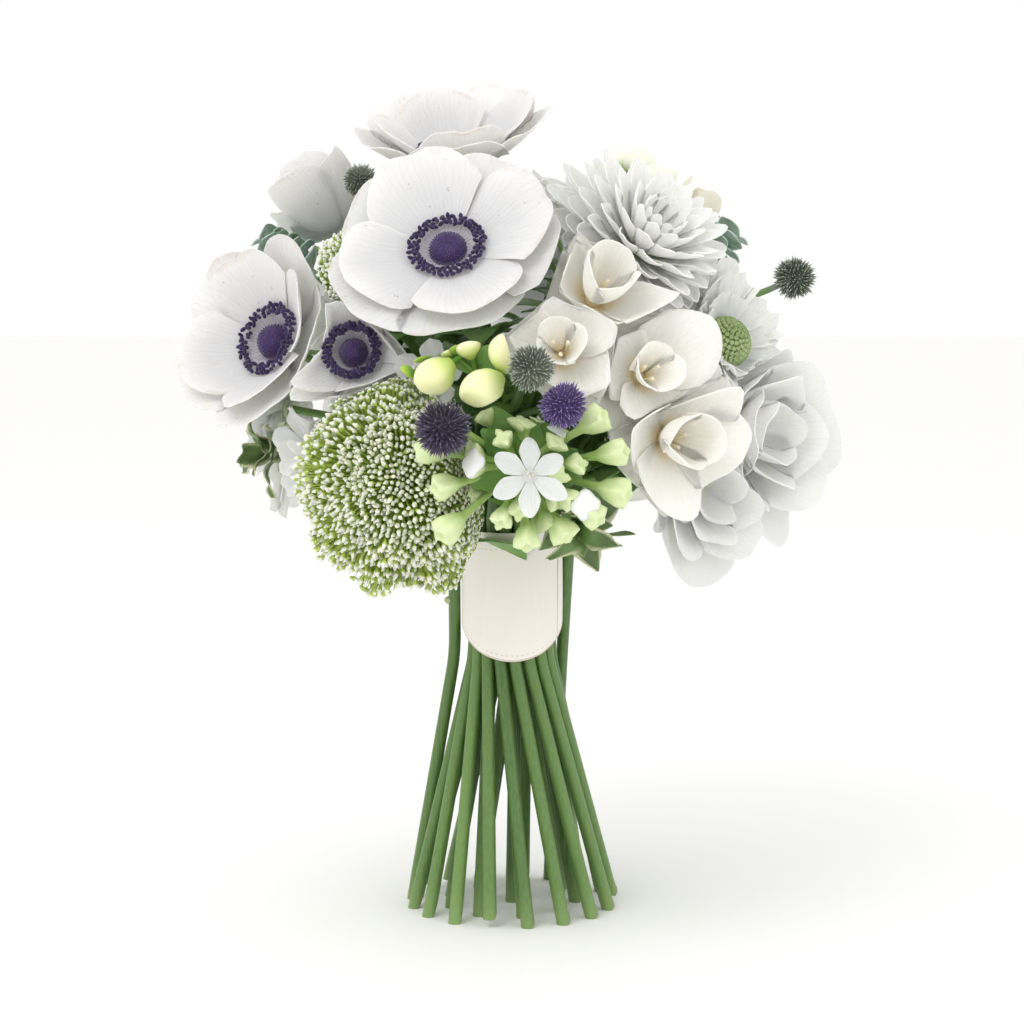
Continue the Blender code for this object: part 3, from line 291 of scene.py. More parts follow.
# %% The bundle's numbers
STEM_RADIUS, NECK_RADIUS, FORK_RADIUS, FOOT_GROWTH = 2.35, 1.5, 1.2, 1.1
STEM_PITCH, RINGS, RING_TURNS = 5.02, (1, 9, 17), (0.0, 20.0, 0.0)
WAIST_Z, FLARE, FOOT_TURN = 106.0, 41.5, math.radians(30)
LOW_LEVELS = (0.0, 94.0, 145.0)
HIGH_SHARES, FORK_SHARES, FORK_CORNER = (0.0, 0.2, 0.55, 1.0), (0.0, 0.5, 1.0), 2
CUT_SLANT, STEM_CLEARANCE = 2.4, 4.9
WRAP_LOW, WRAP_HIGH, HEM_DIP, WRAP_THICKNESS, WRAP_STEPS = 94.0, 141.0, 14.0, 0.8, 24
TIE_LOW, TIE_THICKNESS, TIE_STEPS = 118.0, 0.7, 20
SLIT_AZIMUTH, SLIT_TOP, SLIT_CLOSED = 63.0, 1.6, 0.35


def growth(z):
    """How much wider the bundle is at a height than at its waist."""
    return np.hypot(1.0, np.maximum(0.0, WAIST_Z - z) / FLARE)


def outer_radius(z):
    """Radius around the outer ring of stems."""
    levels = np.array(LOW_LEVELS)
    ring = STEM_PITCH / (2 * math.sin(math.pi / RINGS[-1]))
    return np.interp(z, levels, ring * growth(levels)) + STEM_RADIUS


def wrap_radius(z):
    """Radius of the middle of the ribbon, clear of the outer stems and of the tie's corners."""
    waist = (outer_radius(TIE_LOW) + GAP / 2 + TIE_THICKNESS) / math.cos(math.pi / TIE_STEPS)
    inside = np.maximum(outer_radius(z), waist) + GAP
    return (inside + WRAP_THICKNESS / 2) / math.cos(math.pi / WRAP_STEPS)


def ring_slots(count):
    """Places of a ring of stems at the waist; an inner stem lies against the nearest outer one."""
    azimuths = np.arange(count) * 360.0 / count + RING_TURNS[RINGS.index(count)]
    outer = STEM_PITCH / (2 * math.sin(math.pi / RINGS[-1]))
    step = 360.0 / RINGS[-1]
    aside = np.radians((azimuths + step / 2) % step - step / 2)
    inner = outer * np.cos(aside) - np.sqrt(STEM_PITCH**2 - (outer * np.sin(aside)) ** 2)
    radius = {RINGS[-1]: outer, 1: 0.0}.get(count, inner)
    turn = np.radians(azimuths)
    return azimuths, (radius * np.stack([np.sin(turn), -np.cos(turn)])).T


def bundle_point(slot, z):
    """Centre of a slot at a height: the waist's pattern, grown and turned as a whole."""
    turn = FOOT_TURN * (WAIST_Z - z) / WAIST_Z
    x, y = slot * growth(z)
    c, s = math.cos(turn), math.sin(turn)
    return np.array([c * x - s * y, s * x + c * y, z])


print("the bundle is", round(float(2 * outer_radius(0.0))), "mm wide at its foot")


# %% [markdown]
# Paths of the stems
#
# On the real bunch each stem runs straight through the tie and bends only near its flower. The
# curves could be drawn by hand, but twenty-seven hand-drawn curves would soon cross. So the heads
# are matched to places in the bundle by their azimuths, and a cubic curve leads up to each head.

# %% Paths of the stems
def slots_for(places):
    """The highest heads take the inner slots, and each ring is matched to its heads by azimuth."""
    order = sorted(PLANTS, key=lambda plant: -places[PLANTS[plant][0]].elevation)
    slots, first = {}, 0
    for count in RINGS:
        azimuths, points = ring_slots(count)
        members = sorted(order[first:first + count],
                         key=lambda plant: places[PLANTS[plant][0]].azimuth % 360)
        wanted = np.array([places[PLANTS[plant][0]].azimuth for plant in members])
        best = min(range(count), key=lambda shift: np.sum(
            ((np.roll(azimuths, -shift) - wanted + 180) % 360 - 180) ** 2))
        slots.update(zip(members, np.roll(points, -best, axis=0)))
        first += count
    return slots


def low_path(plant, slot):
    """Centreline from the cut end up to where the head begins."""
    points = [bundle_point(slot, z) for z in LOW_LEVELS]
    if not slot.any():
        front = ring_slots(RINGS[1])[1][0]
        lean = front * (1 - STEM_PITCH / np.linalg.norm(front))
        points[1:] = [bundle_point(lean, z) for z in LOW_LEVELS[1:]]
    if plant in STRAYS:
        half = math.radians(STRAYS[plant][1] - STRAYS[plant][0]) / 2
        for level, azimuth in zip((1, 2), STRAYS[plant]):
            clear = wrap_radius(LOW_LEVELS[level]) + WRAP_THICKNESS / 2 + GAP + STEM_RADIUS
            points[level][:2] = clear / math.cos(half) * direction(azimuth, 0)[:2]
    points[0][2] = SHORT_STEMS.get(plant, 0.0)
    return np.array(points)


def high_path(start, ahead, place, shares):
    """Corners of a cubic curve from `start`, heading `ahead`, to just under a head."""
    end = place.seat - (RECEPTACLE + GAP) * place.face
    span = np.linalg.norm(end - start)
    t = np.array(shares)[:, None]
    b, c = start + 0.3 * span * ahead, end - 0.4 * span * unit(place.face + place.outward)
    return (1 - t) ** 3 * start + 3 * t * (1 - t) ** 2 * b + 3 * t**2 * (1 - t) * c + t**3 * end


print("first place of the outer ring:", ring_slots(RINGS[-1])[1][0].round(1))

# %% [markdown]
# Easing stems apart
#
# Stems in a real bunch push each other aside. A physics run could do that, but a short relaxation
# gives the same result each time: points of different plants that are too near move apart a
# little, and this is repeated until they are clear. The ends stay where they are.

# %% Easing stems apart
def between(path, shares):
    """Points at even steps of a path's own corners, as weights times the corners."""
    at = np.asarray(shares) * (len(path) - 1)
    return np.maximum(0, 1 - np.abs(at[:, None] - np.arange(len(path))))


def spread(paths, owners, rounds=400, samples=24):
    """Ease paths of different plants apart, with their ends held."""
    weights = [between(path, np.linspace(0, 1, samples)) for path in paths]
    owner = np.repeat(owners, samples)
    foreign = owner[:, None] != owner[None, :]
    for _ in range(rounds):
        points = np.concatenate([w @ path for w, path in zip(weights, paths)])
        away = points[:, None] - points[None]
        distance = np.linalg.norm(away, axis=-1) + 1e-6
        push = np.where(foreign, np.clip(STEM_CLEARANCE - distance, 0, None), 0.0) / distance
        moves = np.split((away * push[..., None]).sum(axis=1), len(paths))
        for w, path, move in zip(weights, paths, moves):
            path[1:-1] += 0.5 * (w.T @ move / w.sum(axis=0)[:, None])[1:-1]
    return paths


def stem_paths(places):
    """Every plant's low centreline, and the path to each of its heads."""
    slots = slots_for(places)
    lows, paths, owners, labels = {}, [], [], []
    for index, (plant, heads) in enumerate(PLANTS.items()):
        low = lows[plant] = low_path(plant, slots[plant])
        main = high_path(low[-1], unit(low[-1] - low[-2]), places[heads[0]], HIGH_SHARES)
        paths.append(main)
        labels += list(heads)
        owners += [index] * len(heads)
        fork = main[FORK_CORNER]
        ahead = unit(main[FORK_CORNER + 1] - fork)
        paths += [high_path(fork, ahead, places[head], FORK_SHARES) for head in heads[1:]]
    return lows, dict(zip(labels, spread(paths, owners)))


print("a quarter along three corners:", between(np.zeros((3, 3)), [0.25]).round(2))

# %% [markdown]
# Spots and bounded places
#
# Most heads keep to a cell, and some small things stand free in front of the flowers. Both kinds
# of place answer the same call, world(), so every flower function below works with either.

# %% Spots and bounded places
class Spot:
    """A place without a cell, for what stands free in front of the flowers or between them."""

    def __init__(self, seat, face):
        """Axes for a seat that faces along `face`."""
        self.seat, self.axes = seat, axes_for(face)

    def world(self, points, margin=0.0):
        """Points of the spot's own frame; there is no wall, so the margin has no use."""
        return self.seat + np.asarray(points, float) @ self.axes.T


places = {name: Place(name) for name in HEADS}
for place in places.values():
    place.bound(places.values())
lows, highs = stem_paths(places)
for plant, heads in PLANTS.items():
    tracks = [between(path, np.linspace(0, 1, 30)) @ path
              for head, path in highs.items() if head not in heads]
    for head in heads:
        places[head].avoid(np.concatenate(tracks))
print("stems run from", round(min(low[0][2] for low in lows.values()), 1), "mm to",
      round(max(path[-1][2] for path in highs.values()), 1), "mm")


# %% [markdown]
# Tools for surfaces
#
# Three shapes make nearly everything here. A *sheet* is a grid of points given a thickness, for
# petals, leaves and ribbon. A *tube* is a row of rings, for stems, buds and stamens. A *scatter*
# puts one small shape in hundreds of places at once. Each point carries a mark of three numbers,
# across, along and seed, which the finishes read to draw veins, tips and rims.

# %% Sheets and tubes
def sheet(grid, thickness):
    """Both sides and the rim of a sheet.

    A side is the grid moved half the thickness along its normal, which is the cross product of
    the grid's two directions. The rim is a strip between the borders of the two sides.
    """
    rows, cols = grid.shape[:2]
    normal = unit(np.cross(np.gradient(grid, axis=1), np.gradient(grid, axis=0)))
    step = normal * np.broadcast_to(thickness, (rows, cols))[..., None] / 2
    index = np.arange(rows * cols).reshape(rows, cols)
    top = np.stack([index[:-1, :-1], index[:-1, 1:], index[1:, 1:], index[1:, :-1]], -1).reshape(-1, 4)
    rim = np.concatenate([index[0, :-1], index[:-1, -1], index[-1, :0:-1], index[::-1, 0]])
    low = rows * cols
    wall = np.stack([rim[1:], rim[:-1], rim[:-1] + low, rim[1:] + low], 1)
    points = np.concatenate([(grid + step).reshape(-1, 3), (grid - step).reshape(-1, 3)])
    return points, [np.concatenate([top, top[:, ::-1] + low, wall])]


def skin(rings):
    """A wall through rings of points, an array (rings, sides, 3), and a fan over each end."""
    count, sides = rings.shape[:2]
    index = np.arange(count * sides).reshape(count, sides)
    ahead = np.roll(index, -1, axis=1)
    wall = np.stack([index[:-1], ahead[:-1], ahead[1:], index[1:]], -1).reshape(-1, 4)
    foot = np.stack([ahead[0], index[0], np.full(sides, count * sides)], 1)
    tip = np.stack([index[-1], ahead[-1], np.full(sides, count * sides + 1)], 1)
    points = np.concatenate([rings.reshape(-1, 3), rings[[0, -1]].mean(axis=1)])
    return points, [wall, np.concatenate([foot, tip])]


def tube(path, radii, sides=12):
    """Rings around a path. Each ring's side direction is the last one's, made square to the path."""
    ahead = unit(np.gradient(path, axis=0))
    side = np.empty_like(path)
    side[0] = unit(np.cross(ahead[0], (0.31, 0.95, 0.07)))
    for k in range(1, len(path)):
        side[k] = unit(side[k - 1] - ahead[k] * (side[k - 1] @ ahead[k]))
    over = np.cross(ahead, side)
    turn = (np.arange(sides) * 2 * np.pi / sides)[None, :, None]
    circle = np.cos(turn) * side[:, None] + np.sin(turn) * over[:, None]
    return skin(path[:, None] + np.asarray(radii)[:, None, None] * circle)


def lathe(heights, radii, sides=16, lobes=0, depth=0.0):
    """A turned shape about Z, whose radius swings by `depth` in `lobes` waves around."""
    turn = np.arange(sides) * 2 * np.pi / sides
    radius = np.asarray(radii)[:, None] * (1 + np.broadcast_to(depth, (len(radii),))[:, None]
                                           * np.cos(lobes * turn))
    z = np.repeat(np.asarray(heights, float)[:, None], sides, axis=1)
    return skin(np.stack([radius * np.cos(turn), radius * np.sin(turn), z], -1))


print("a turned shape of two rings has", len(lathe([0, 1], [1, 1])[0]), "points")


# %% [markdown]
# Gathering points into one mesh
#
# A flower holds hundreds of patches. One object for each would be slow to handle, so the patches
# are gathered in a heap and written as one mesh by foreach_set, which copies whole arrays at once.
# The heap also hides the solids of the frame whose place the finished piece takes.

# %% Gathering points into one mesh
class Heap:
    """Patches of points, faces and marks, which become one mesh."""

    def __init__(self):
        """An empty heap."""
        self.points, self.faces, self.marks = [], [], []
        self.count = 0

    def add(self, points, faces, marks):
        """One patch; its marks are (across, along, seed) for each point, or for all."""
        self.points.append(points)
        self.marks.append(np.broadcast_to(marks, points.shape))
        self.faces += [face + self.count for face in faces]
        self.count += len(points)

    def scatter(self, shape, spots, outward, sizes, seeds=0.0, adjust=None, marks=None):
        """`shape` at every spot, its Z turned to `outward` and scaled to `sizes`."""
        points, faces, along = shape
        side = unit(np.cross(outward, (0.91, 0.17, 0.38)))
        axes = np.stack([side, np.cross(outward, side), outward], -1)
        sizes = np.broadcast_to(sizes, (len(spots),))
        moved = spots[:, None] + sizes[:, None, None] * np.einsum("kij,mj->kmi", axes, points)
        moved = moved.reshape(-1, 3)
        if marks is None:
            marks = np.stack([np.zeros(len(moved)), np.tile(along, len(spots)),
                              np.repeat(np.broadcast_to(seeds, (len(spots),)), len(points))], 1)
        first = (np.arange(len(spots)) * len(points))[:, None, None]
        self.add(moved if adjust is None else adjust(moved),
                 [(face[None] + first).reshape(-1, face.shape[1]) for face in faces], marks)

    def make(self, name, finish, slot, *nodes):
        """Write the mesh, give it its finish, and hide the CAD nodes whose place it takes."""
        mesh = bpy.data.meshes.new(name)
        points = np.concatenate(self.points) * MM
        sizes = np.concatenate([np.full(len(face), face.shape[1]) for face in self.faces])
        mesh.vertices.add(len(points))
        mesh.vertices.foreach_set("co", points.astype(np.float32).ravel())
        mesh.loops.add(int(sizes.sum()))
        corners = np.concatenate([face.ravel() for face in self.faces])
        mesh.loops.foreach_set("vertex_index", corners.astype(np.int32))
        mesh.polygons.add(len(sizes))
        mesh.polygons.foreach_set("loop_start", (np.cumsum(sizes) - sizes).astype(np.int32))
        mark = mesh.attributes.new("mark", "FLOAT_VECTOR", "POINT")
        mark.data.foreach_set("vector", np.concatenate(self.marks).astype(np.float32).ravel())
        mesh.update(calc_edges=True)
        mesh.polygons.foreach_set("use_smooth", np.ones(len(sizes), bool))
        mesh.set_sharp_from_angle(angle=math.radians(60))
        mesh.materials.append(finish)
        piece = bpy.data.objects.new(name, mesh)
        bpy.context.scene.collection.objects.link(piece)
        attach(piece, "root")
        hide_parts(*nodes)
        triangles = int((sizes - 2).sum())
        total_triangles.append(triangles)
        print(f"{name}: {triangles} triangles")
        return piece


total_triangles = []
print("finished pieces so far:", len(total_triangles))


# %% [markdown]
# Small shapes that are scattered
#
# Anthers, buds, florets and spines repeat by the hundred. Each could be modelled finely, but
# nobody would see it and it would cost millions of triangles. So each is a shape of a few faces,
# turned and placed by arrays.

# %% Small shapes that are scattered
def dome(count, lowest):
    """Evenly spread directions: equal steps of height, each turned by the golden angle."""
    k = np.arange(count) + 0.5
    z = 1 - (1 - lowest) * k / count
    r = np.sqrt(1 - z**2)
    return np.stack([r * np.cos(k * GOLDEN), r * np.sin(k * GOLDEN), z], 1)


def bead(sides=6, rings=4, length=1.0):
    """A ball about the origin, `length` times as long as it is wide; its mark is its height."""
    t = np.linspace(0.12, 0.88, rings) * np.pi
    points, faces = lathe(-np.cos(t) * length, np.sin(t), sides)
    return points, faces, points[:, 2] / length * 0.5 + 0.5


def floret(arms=5, spread_out=1.0, rise=0.55):
    """A tiny flat star with a raised cup: arms and notches by turns, a top and a foot."""
    turn = np.arange(2 * arms) * np.pi / arms
    reach = np.where(np.arange(2 * arms) % 2, 0.36, 1.0) * spread_out
    height = np.where(np.arange(2 * arms) % 2, 0.25, rise)
    rim = np.stack([reach * np.cos(turn), reach * np.sin(turn), height], 1)
    points = np.concatenate([rim, [[0, 0, 0.22], [0, 0, -0.9]]])
    k, n = np.arange(2 * arms), (np.arange(2 * arms) + 1) % (2 * arms)
    top = np.stack([k, n, np.full(2 * arms, 2 * arms)], 1)
    under = np.stack([n, k, np.full(2 * arms, 2 * arms + 1)], 1)
    return points, [np.concatenate([top, under])], np.append(reach, [0.3, 0.0])


def spine(width=0.16):
    """A thin four-sided spike along Z."""
    points = np.array([[width, 0, 0], [0, width, 0], [-width, 0, 0], [0, -width, 0], [0, 0, 1.0]])
    sides = np.array([[0, 1, 4], [1, 2, 4], [2, 3, 4], [3, 0, 4]])
    return points, [sides, np.array([[3, 2, 1, 0]])], np.array([0, 0, 0, 0, 1.0])


print("a bead has", sum(len(f) for f in bead()[1]), "faces, a floret", len(floret()[1][0]))

# %% [markdown]
# Finishes
#
# Petals are thin, matt and slightly see-through, with veins that fan out from the claw. Leaves
# are waxy, stems streaked along their length. Two effects are shared by many finishes, so each is
# a node group: *veins*, fine lines along a petal, and *mottle*, soft patches in space.

# %% Wiring nodes
def add(tree, kind, inputs=None, **settings):
    """One shader node, with its settings and its inputs as values or as sockets to link from."""
    node = tree.nodes.new("ShaderNode" + kind)
    for key, value in settings.items():
        setattr(node, key, value)
    for key, value in (inputs or {}).items():
        if isinstance(value, bpy.types.NodeSocket):
            tree.links.new(value, node.inputs[key])
        else:
            node.inputs[key].default_value = value
    return node


def math_node(tree, operation, a, b=0.0):
    """The result of one sum on values or sockets."""
    return add(tree, "Math", {0: a, 1: b}, operation=operation).outputs[0]


def times(tree, a, b):
    """One value multiplied by another."""
    return math_node(tree, "MULTIPLY", a, b)


def plus(tree, a, b):
    """The sum of two values."""
    return math_node(tree, "ADD", a, b)


def minus(tree, a, b):
    """One value less another."""
    return math_node(tree, "SUBTRACT", a, b)


def size_of(tree, value):
    """A value without its sign."""
    return math_node(tree, "ABSOLUTE", value)


def blend_colours(tree, share, a, b):
    """Colour `a` turning to colour `b` as `share` goes from 0 to 1."""
    return add(tree, "Mix", {0: share, 6: a, 7: b}, data_type="RGBA").outputs[2]


def ramp(tree, value, low, high, to_low=0.0, to_high=1.0):
    """A value's stretch from `low` to `high`, eased and carried to another stretch."""
    return add(tree, "MapRange", {"Value": value, "From Min": low, "From Max": high,
                                  "To Min": to_low, "To Max": to_high},
               interpolation_type="SMOOTHSTEP").outputs["Result"]


def noise(tree, vector, scale, detail=2.0):
    """Cloudy noise read at `vector`."""
    return add(tree, "TexNoise", {"Vector": vector, "Scale": scale, "Detail": detail}).outputs[0]


def stripes(tree, lane, pitch, sharpness):
    """Thin lines wherever `lane` times `pitch` is whole: a cosine's size to a high power."""
    swing = math_node(tree, "COSINE", times(tree, lane, pitch * math.pi))
    return math_node(tree, "POWER", size_of(tree, swing), sharpness)


def new_group(name, inputs, outputs):
    """An empty node group with named sockets, and its two end nodes."""
    group = bpy.data.node_groups.new(name, "ShaderNodeTree")
    for label, kind, value in inputs:
        socket = group.interface.new_socket(label, in_out="INPUT", socket_type=kind)
        if value is not None:
            socket.default_value = value
    for label in outputs:
        group.interface.new_socket(label, in_out="OUTPUT", socket_type="NodeSocketFloat")
    return group, group.nodes.new("NodeGroupInput"), group.nodes.new("NodeGroupOutput")


print("the helpers for nodes are ready")


# %% [markdown]
# Veins
#
# Fine veins fan out from the claw of a petal and from the foot of a leaf. An image could carry
# them, but it would blur close up. Here they are stripes across the mark, bent a little by noise,
# with finer ones joining towards the rim.

# %% The veins group
veins, given, result = new_group("Veins", (("Mark", "NodeSocketVector", None),
                                           ("Count", "NodeSocketFloat", 9.0)), ("Mask",))
parts = add(veins, "SeparateXYZ", {0: given.outputs["Mark"]}).outputs
wobble = noise(veins, given.outputs["Mark"], 4.0, 2.0)
lane = plus(veins, times(veins, parts[0], given.outputs["Count"]), wobble)
coarse = stripes(veins, lane, 1.0, 14.0)
fine = stripes(veins, lane, 2.7, 8.0)
late = times(veins, fine, ramp(veins, parts[1], 0.3, 0.8, 0.0, 0.6))
veins.links.new(math_node(veins, "MAXIMUM", coarse, late), result.inputs["Mask"])
print("the veins group has", len(veins.nodes), "nodes")

# %% [markdown]
# Mottle
#
# No petal or leaf has one even tone. Soft patches of noise in space change the tone slightly, and
# the same mask, made finer and sharper, serves for specks and for worn rims.

# %% The mottle group
mottle, given, result = new_group("Mottle", (("Scale", "NodeSocketFloat", 60.0),
                                             ("Low", "NodeSocketFloat", 0.4),
                                             ("High", "NodeSocketFloat", 0.6)), ("Mask",))
space = add(mottle, "TexCoord").outputs["Object"]
cloud = noise(mottle, space, given.outputs["Scale"], 4.0)
patch = add(mottle, "MapRange", {"Value": cloud, "From Min": given.outputs["Low"],
                                 "From Max": given.outputs["High"]}, interpolation_type="SMOOTHSTEP")
mottle.links.new(patch.outputs["Result"], result.inputs["Mask"])


def patches(tree, scale, low=0.4, high=0.6):
    """A mask of soft patches."""
    node = tree.nodes.new("ShaderNodeGroup")
    node.node_tree = mottle
    for key, value in zip(("Scale", "Low", "High"), (scale, low, high)):
        node.inputs[key].default_value = value
    return node.outputs["Mask"]


def vein_lines(tree, mark, count):
    """A mask of veins."""
    node = tree.nodes.new("ShaderNodeGroup")
    node.node_tree = veins
    node.inputs["Count"].default_value = count
    tree.links.new(mark, node.inputs["Mark"])
    return node.outputs["Mask"]


def rgb(r, g, b):
    """A colour as the sockets take it."""
    return (r, g, b, 1.0)


def finish_base(name, roughness, subsurface=0.0, sheen=0.0, coat=0.0, specular=0.5):
    """A new finish: its tree, its shader, and the mark's vector and three parts."""
    made = bpy.data.materials.new(name)
    made.use_nodes = True
    tree = made.node_tree
    shader = tree.nodes["Principled BSDF"]
    for key, value in (("Roughness", roughness), ("Subsurface Weight", subsurface),
                       ("Subsurface Scale", 0.006), ("Sheen Weight", sheen),
                       ("Sheen Roughness", 0.4), ("Coat Weight", coat), ("Coat Roughness", 0.3),
                       ("Specular IOR Level", specular)):
        shader.inputs[key].default_value = value
    shader.inputs["Subsurface Radius"].default_value = (1.0, 0.95, 0.8)
    mark = add(tree, "Attribute", attribute_name="mark").outputs["Vector"]
    return made, tree, shader, mark, add(tree, "SeparateXYZ", {0: mark}).outputs


def bump(tree, shader, height, distance, strength=0.5):
    """Relief from a height, in metres."""
    node = add(tree, "Bump", {"Height": height, "Distance": distance, "Strength": strength})
    tree.links.new(node.outputs["Normal"], shader.inputs["Normal"])


print("node groups:", [group.name for group in bpy.data.node_groups])


# %% [markdown]
# Petal finishes
#
# White petals are matt and let light through, so they glow in their own shadows. Glass-like
# transmission would be slow and too clear; subsurface light with a low share of gloss is nearer.
# Each flower has its own white, and a heart that is greenish, golden or lilac where the petals
# meet.

# %% Petal finishes
VEIN_GREY, SPECK_BROWN = rgb(0.52, 0.50, 0.50), rgb(0.42, 0.30, 0.26)


def petal_finish(name, pale, heart, reach, rim, vein=0.10, count=9.0, specks=0.0, relief=0.0004):
    """White petals: a tinted heart that fades by `reach`, faint veins, a rim and a few specks."""
    made, tree, shader, mark, part = finish_base(name, 0.55, subsurface=0.6, sheen=0.1, specular=0.3)
    lines = vein_lines(tree, mark, count)
    dimmer = rgb(*(0.965 * part_of for part_of in pale))
    colour = blend_colours(tree, patches(tree, 45.0, 0.35, 0.7), rgb(*pale), dimmer)
    colour = blend_colours(tree, ramp(tree, part[1], 0.0, reach, 1.0, 0.0), colour, rgb(*heart))
    colour = blend_colours(tree, times(tree, lines, vein), colour, VEIN_GREY)
    edge = times(tree, ramp(tree, part[1], 0.9, 1.0), patches(tree, 90.0, 0.5, 0.65))
    colour = blend_colours(tree, times(tree, edge, 0.5), colour, rgb(*rim))
    if specks:
        dots = times(tree, patches(tree, 420.0, 0.70, 0.74), specks)
        colour = blend_colours(tree, dots, colour, SPECK_BROWN)
    tree.links.new(colour, shader.inputs["Base Color"])
    crinkle = noise(tree, mark, 9.0, 3.0)
    bump(tree, shader, minus(tree, crinkle, times(tree, lines, 0.5)), relief)
    return made


ANEMONE_WHITE = petal_finish("anemone petal", (0.85, 0.84, 0.825), (0.80, 0.79, 0.80), 0.36,
                             (0.60, 0.44, 0.33), vein=0.11, count=10.0, specks=0.7)
DAHLIA_WHITE = petal_finish("dahlia petal", (0.95, 0.955, 0.92), (0.74, 0.83, 0.55), 0.34,
                            (0.86, 0.86, 0.80), vein=0.07, count=4.0)
LISIANTHUS_WHITE = petal_finish("lisianthus petal", (0.87, 0.872, 0.85), (0.82, 0.86, 0.68), 0.28,
                                (0.86, 0.86, 0.80), vein=0.05, count=9.0)
FREESIA_IVORY = petal_finish("freesia tepal", (0.95, 0.935, 0.855), (0.92, 0.74, 0.40), 0.30,
                             (0.88, 0.84, 0.74), vein=0.025, count=6.0)
SCABIOSA_IVORY = petal_finish("scabiosa petal", (0.90, 0.905, 0.86), (0.72, 0.80, 0.52), 0.38,
                              (0.76, 0.78, 0.66), vein=0.12, count=7.0)
STAR_WHITE = petal_finish("star petal", (0.87, 0.87, 0.86), (0.82, 0.80, 0.60), 0.2,
                          (0.82, 0.82, 0.80), vein=0.08, count=3.0)
ROSEBUD_CREAM = petal_finish("rosebud petal", (0.86, 0.80, 0.60), (0.70, 0.74, 0.36), 0.4,
                             (0.80, 0.66, 0.44), vein=0.10, count=6.0)
FREESIA_BUD = petal_finish("freesia bud", (0.90, 0.90, 0.52), (0.50, 0.64, 0.14), 0.55,
                           (0.70, 0.76, 0.34), vein=0.05, count=5.0)
YOUNG_BUD = petal_finish("young bud", (0.36, 0.52, 0.08), (0.14, 0.30, 0.04), 0.7,
                         (0.50, 0.60, 0.16), vein=0.05, count=5.0)
ROUND_BUD = petal_finish("round bud", (0.83, 0.86, 0.72), (0.50, 0.66, 0.22), 0.5,
                         (0.70, 0.78, 0.50), vein=0.05, count=5.0)
print("ten petal finishes")


# %% [markdown]
# Leaf, bud and stem finishes
#
# Leaves are waxy and dark between the flowers. One function makes them all from two tones, with
# veins, and can add a powdery bloom, a pale rim or a coloured tip. Stems have streaks along their
# length, so noise is stretched along Z for them.

# %% Leaf, bud and stem finishes
POWDER = rgb(0.62, 0.70, 0.68)


def green_finish(name, deep, light, tip=None, tip_from=0.8, rough=0.45, bloom=0.0, count=7.0,
                 rim=None, relief=0.0003):
    """Waxy green in two tones, with veins, an optional coloured tip and a pale rim."""
    made, tree, shader, mark, part = finish_base(name, rough, subsurface=0.08, coat=0.12)
    lines = vein_lines(tree, mark, count)
    colour = blend_colours(tree, patches(tree, 70.0, 0.35, 0.65), rgb(*deep), rgb(*light))
    paler = rgb(*(1.35 * part_of for part_of in light))
    colour = blend_colours(tree, times(tree, lines, 0.22), colour, paler)
    if bloom:
        powder = times(tree, patches(tree, 160.0, 0.3, 0.7), bloom)
        colour = blend_colours(tree, powder, colour, POWDER)
    if rim:
        side = ramp(tree, size_of(tree, part[0]), 0.62, 0.9)
        side = times(tree, side, patches(tree, 60.0, 0.35, 0.5))
        colour = blend_colours(tree, side, colour, rgb(*rim))
    if tip:
        share = ramp(tree, part[1], tip_from - 0.15, tip_from + 0.1)
        colour = blend_colours(tree, share, colour, rgb(*tip))
    tree.links.new(colour, shader.inputs["Base Color"])
    grain = noise(tree, mark, 14.0, 3.0)
    bump(tree, shader, minus(tree, grain, times(tree, lines, 0.6)), relief)
    return made


FLORET_GREEN = green_finish("trachelium floret", (0.30, 0.42, 0.05), (0.45, 0.56, 0.11),
                            tip=(0.88, 0.88, 0.78), tip_from=0.56, rough=0.6)
TRACHELIUM_CORE = green_finish("trachelium twig", (0.10, 0.18, 0.03), (0.20, 0.32, 0.06), rough=0.6)
TUBE_GREEN = green_finish("bouvardia tube", (0.26, 0.42, 0.10), (0.42, 0.58, 0.20),
                          tip=(0.70, 0.80, 0.45), tip_from=0.85, rough=0.42)
SHEATH_GREEN = green_finish("sheath leaf", (0.07, 0.19, 0.03), (0.16, 0.33, 0.06), rough=0.38, count=9.0)
EUCALYPTUS_BLUE = green_finish("eucalyptus leaf", (0.22, 0.36, 0.25), (0.38, 0.53, 0.42), bloom=0.7,
                               rough=0.62, count=5.0)
LEAF_GREEN = green_finish("variegated leaf", (0.05, 0.11, 0.025), (0.13, 0.24, 0.06),
                          rim=(0.62, 0.62, 0.38), rough=0.42, count=8.0)
THISTLE_GREY = green_finish("thistle spine", (0.09, 0.11, 0.08), (0.20, 0.23, 0.17),
                            tip=(0.50, 0.53, 0.47), tip_from=0.75, rough=0.7)
THISTLE_DARK = green_finish("dark spine", (0.02, 0.015, 0.03), (0.06, 0.045, 0.09),
                            tip=(0.18, 0.15, 0.24), tip_from=0.8, rough=0.7)
THISTLE_PURPLE = green_finish("purple spine", (0.05, 0.03, 0.10), (0.10, 0.06, 0.20),
                              tip=(0.30, 0.22, 0.50), tip_from=0.75, rough=0.7)
BUTTON_GREEN = green_finish("scabiosa button", (0.20, 0.32, 0.08), (0.38, 0.50, 0.20),
                            tip=(0.66, 0.74, 0.46), tip_from=0.8, rough=0.55)


